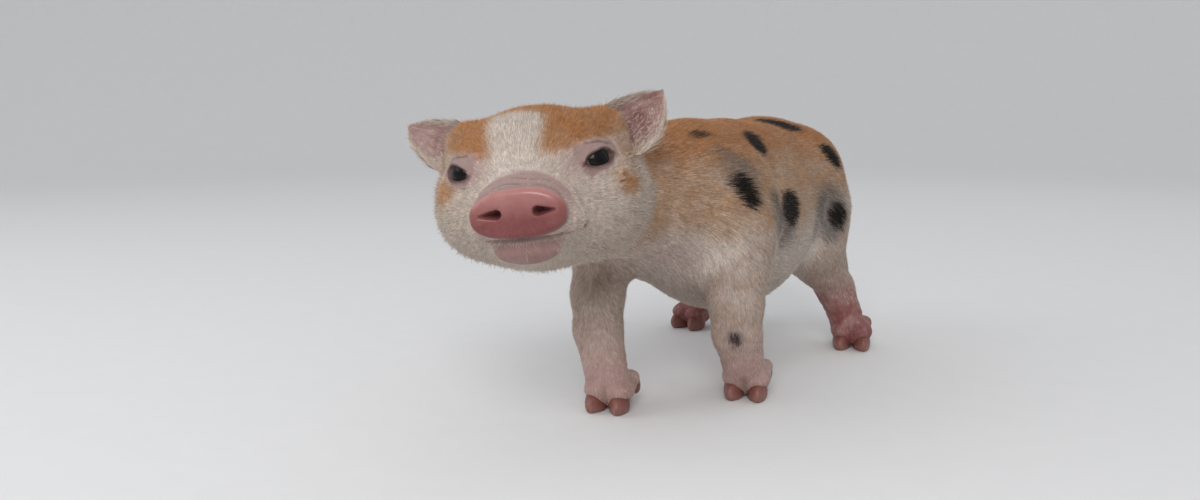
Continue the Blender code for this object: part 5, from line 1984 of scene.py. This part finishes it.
def add_light(name, place, size, power, colour):
    """A soft square light that faces the piglet."""
    light = bpy.data.lights.new(name, "AREA")
    light.shape = "SQUARE"
    light.size = size
    light.energy = power
    light.color = colour
    obj = add_object(name, light)
    obj.location = place
    obj.rotation_euler = (Vector(LIT_POINT) - Vector(place)).to_track_quat("-Z", "Y").to_euler()


def make_camera():
    """The camera at the photograph's place."""
    camera = bpy.data.cameras.new("camera")
    camera.sensor_width = SENSOR_WIDTH
    camera.lens = SENSOR_WIDTH * FOCAL_PIXELS / IMAGE_WIDTH
    camera.clip_start = 0.01
    obj = add_object("camera", camera)
    turn, tilt = math.radians(CAMERA_TURN), math.radians(CAMERA_TILT)
    level = math.cos(tilt)
    forward = Vector((-math.sin(turn) * level, math.cos(turn) * level, -math.sin(tilt)))
    obj.location = CAMERA_PLACE + TRUNK_PLACE
    obj.rotation_euler = forward.to_track_quat("-Z", "Y").to_euler()
    bpy.context.scene.camera = obj


def make_stage():
    """Floor, light, world and camera."""
    stage = bpy.context.scene.piglet_stage
    make_floor()
    world = bpy.data.worlds.new("studio")
    world.use_nodes = True
    background = world.node_tree.nodes["Background"]
    background.inputs["Color"].default_value = (*stage.sky, 1)
    background.inputs["Strength"].default_value = stage.sky_strength
    bpy.context.scene.world = world
    add_light("key_light", (0.46, -1.15, 0.88), 0.60, stage.key_power, (1.0, 0.985, 0.965))
    add_light("fill_light", (-0.95, -0.75, 0.85), 0.90, stage.fill_power, (0.96, 0.98, 1.0))
    add_light("back_light", (0.15, 1.10, 1.10), 0.90, stage.back_power, (0.97, 0.985, 1.0))
    bpy.context.scene.view_settings.view_transform = "Standard"
    make_camera()


def a_colour(name, description, default):
    """A colour that a user may change."""
    return FloatVectorProperty(name=name, description=description, default=default, subtype="COLOR")


def a_length(name, description, default):
    """A length that a user may change."""
    return FloatProperty(name=name, description=description, default=default, unit="LENGTH")


def a_count(name, description, default):
    """A whole number that a user may change."""
    return IntProperty(name=name, description=description, default=default)


def a_power(name, description, default):
    """A lamp's power that a user may change."""
    return FloatProperty(name=name, description=description, default=default, unit="POWER")


class PigletSkinSettings(bpy.types.PropertyGroup):
    """Sizes and colours of the skin."""

    fineness: a_length("Fineness", "Size of the skin's faces", 0.0023)
    coat_depth: a_length("Coat Depth", "How far the skin lies inside the outline", 0.0008)
    pink: a_colour("Pink", "Plain bare skin", (0.40, 0.265, 0.245))
    # Dusky skin of the lids, the ring and the chin, and painted shade in the folds' valleys
    dusky: a_colour("Dusky", "Lids and folds", (0.27, 0.178, 0.162))
    # Reddened skin, also used as painted shade on the disc's lower part and the lower hind legs
    flush: a_colour("Flush", "Reddened skin", (0.18, 0.040, 0.040))
    disc: a_colour("Disc", "The moist disc", (0.41, 0.180, 0.165))
    # Painted shade inside the nostrils, along the lids, in the folds and creases, along the disc's edge
    # and the mouth, and deep in the ears
    painted_shade: a_colour("Painted_shade", "Inside the nostrils", (0.05, 0.014, 0.013))


class PigletCoatSettings(bpy.types.PropertyGroup):
    """Sizes, numbers and colours of the coat."""

    cream: a_colour("Cream", "Pale hair", (0.615, 0.555, 0.505))
    tan: a_colour("Tan", "Tan hair", (0.47, 0.300, 0.185))
    ginger: a_colour("Ginger", "Deep tan hair", (0.43, 0.195, 0.076))
    # Grey patches of hair, and painted shade on the legs
    grey: a_colour("Grey", "Grey patches", (0.16, 0.145, 0.135))
    black: a_colour("Black", "Black spots", (0.014, 0.012, 0.010))
    face_length: a_length("Face Length", "Hair on the face", 0.0038)
    face_width: a_length("Face Width", "Width of a tuft on the face or an ear", 0.00032)
    body_length: a_length("Body Length", "Hair on the trunk", 0.0075)
    body_width: a_length("Body Width", "Width of a tuft on the trunk", 0.00032)
    leg_length: a_length("Leg Length", "Hair on legs and ears", 0.0042)
    leg_width: a_length("Leg Width", "Width of a tuft on a leg", 0.00026)
    face_tufts: a_count("Face Tufts", "Tufts on the head", 90000)
    body_tufts: a_count("Body Tufts", "Tufts on the trunk", 140000)
    leg_tufts: a_count("Leg Tufts", "Tufts on legs and tail", 34000)
    ear_tufts: a_count("Ear Tufts", "Tufts on the ears", 9000)
    jowl_tufts: a_count("Jowl Tufts", "Long tufts along the cheeks", 9000)
    bristles: a_count("Bristles", "Thin bristles round the mouth", 110)
    seed: a_count("Seed", "Start of the random draws", 7)


class PigletEyeSettings(bpy.types.PropertyGroup):
    """Colours and sizes of the eyes."""

    iris: a_colour("Iris", "Darker iris", (0.006, 0.004, 0.003))
    iris_light: a_colour("Iris Light", "Lighter fibres", (0.010, 0.006, 0.004))
    white: a_colour("White", "White of the eye", (0.42, 0.30, 0.28))
    pupil: FloatProperty(name="Pupil", description="Share of a half turn", default=0.10)
    iris_reach: FloatProperty(name="Iris Reach", description="Share of a half turn", default=0.235)


class PigletClawSettings(bpy.types.PropertyGroup):
    """Colours of the claws."""

    horn: a_colour("Horn", "Horn near the skin", (0.17, 0.040, 0.031))
    tip: a_colour("Tip", "Paler tip", (0.30, 0.135, 0.105))
    streak: a_colour("Streak", "Darker streaks", (0.11, 0.045, 0.036))


class PigletStageSettings(bpy.types.PropertyGroup):
    """Floor and light."""

    floor: a_colour("Floor", "Floor colour", (0.74, 0.74, 0.74))
    sky: a_colour("Sky", "Light all round", (0.96, 0.97, 1.0))
    sky_strength: FloatProperty(name="Sky Strength", description="Light all round", default=0.66)
    key_power: a_power("Key Power", "Main light", 9.3)
    fill_power: a_power("Fill Power", "Second light", 4.0)
    back_power: a_power("Back Power", "Light from behind", 1.2)


class PIGLET_OT_skin(bpy.types.Operator):
    """Make the one skin, in place of every node of flesh"""

    bl_idname = "piglet.skin"
    bl_label = "Skin"

    def execute(self, context):
        skin = make_skin()
        if not skin.data.polygons:
            raise RuntimeError("the skin has no faces")
        return {"FINISHED"}


class PIGLET_OT_eyes(bpy.types.Operator):
    """Make the two eyeballs"""

    bl_idname = "piglet.eyes"
    bl_label = "Eyes"

    def execute(self, context):
        material = eye_material()
        for side in SIDE_FRAMES:
            make_eye(side, material)
        return {"FINISHED"}


class PIGLET_OT_claws(bpy.types.Operator):
    """Make the claws and dewclaws of all four feet"""

    bl_idname = "piglet.claws"
    bl_label = "Claws"

    def execute(self, context):
        material = claw_material()
        for leg in LEGS:
            place = foot_frame(leg)
            left, right = ("outer", "inner") if "left" in leg else ("inner", "outer")
            for side, own in ((left, place), (right, place @ MIRROR_X)):
                make_claw(f"claw_{leg}_{side}", own, False, material)
                make_claw(f"dewclaw_{leg}_{side}", own, True, material)
        return {"FINISHED"}


class PIGLET_OT_coat(bpy.types.Operator):
    """Grow the tufts of the coat on the skin"""

    bl_idname = "piglet.coat"
    bl_label = "Coat"

    def execute(self, context):
        skin = bpy.data.objects.get("skin")
        if skin is None:
            raise RuntimeError("the coat needs the skin first")
        make_coat(skin)
        return {"FINISHED"}


class PIGLET_OT_stage(bpy.types.Operator):
    """Make the floor, the lights, the world and the camera"""

    bl_idname = "piglet.stage"
    bl_label = "Stage"

    def execute(self, context):
        make_stage()
        return {"FINISHED"}


SETTINGS = {
    "piglet_skin": PigletSkinSettings,
    "piglet_coat": PigletCoatSettings,
    "piglet_eyes": PigletEyeSettings,
    "piglet_claws": PigletClawSettings,
    "piglet_stage": PigletStageSettings,
}
OPERATORS = (PIGLET_OT_skin, PIGLET_OT_eyes, PIGLET_OT_claws, PIGLET_OT_coat, PIGLET_OT_stage)


class PIGLET_PT_panel(bpy.types.Panel):
    """Buttons and settings of the piglet"""

    bl_label = "Miniature Piglet"
    bl_space_type = "VIEW_3D"
    bl_region_type = "UI"
    bl_category = "Piglet"

    def draw(self, context):
        for operator in OPERATORS:
            self.layout.operator(operator.bl_idname)
        for name, settings in SETTINGS.items():
            box = self.layout.box()
            for key in settings.__annotations__:
                box.prop(getattr(context.scene, name), key)


def register():
    """Registers the settings, the operators and the panel."""
    for name, settings in SETTINGS.items():
        bpy.utils.register_class(settings)
        setattr(bpy.types.Scene, name, PointerProperty(type=settings))
    for operator in OPERATORS:
        bpy.utils.register_class(operator)
    bpy.utils.register_class(PIGLET_PT_panel)


def unregister():
    """Removes them again."""
    bpy.utils.unregister_class(PIGLET_PT_panel)
    for operator in reversed(OPERATORS):
        bpy.utils.unregister_class(operator)
    for name, settings in reversed(SETTINGS.items()):
        delattr(bpy.types.Scene, name)
        bpy.utils.unregister_class(settings)


def main():
    """Makes every piece."""
    register()
    bpy.ops.piglet.skin()
    bpy.ops.piglet.eyes()
    bpy.ops.piglet.claws()
    bpy.ops.piglet.coat()
    bpy.ops.piglet.stage()


if __name__ == "__main__":
    main()
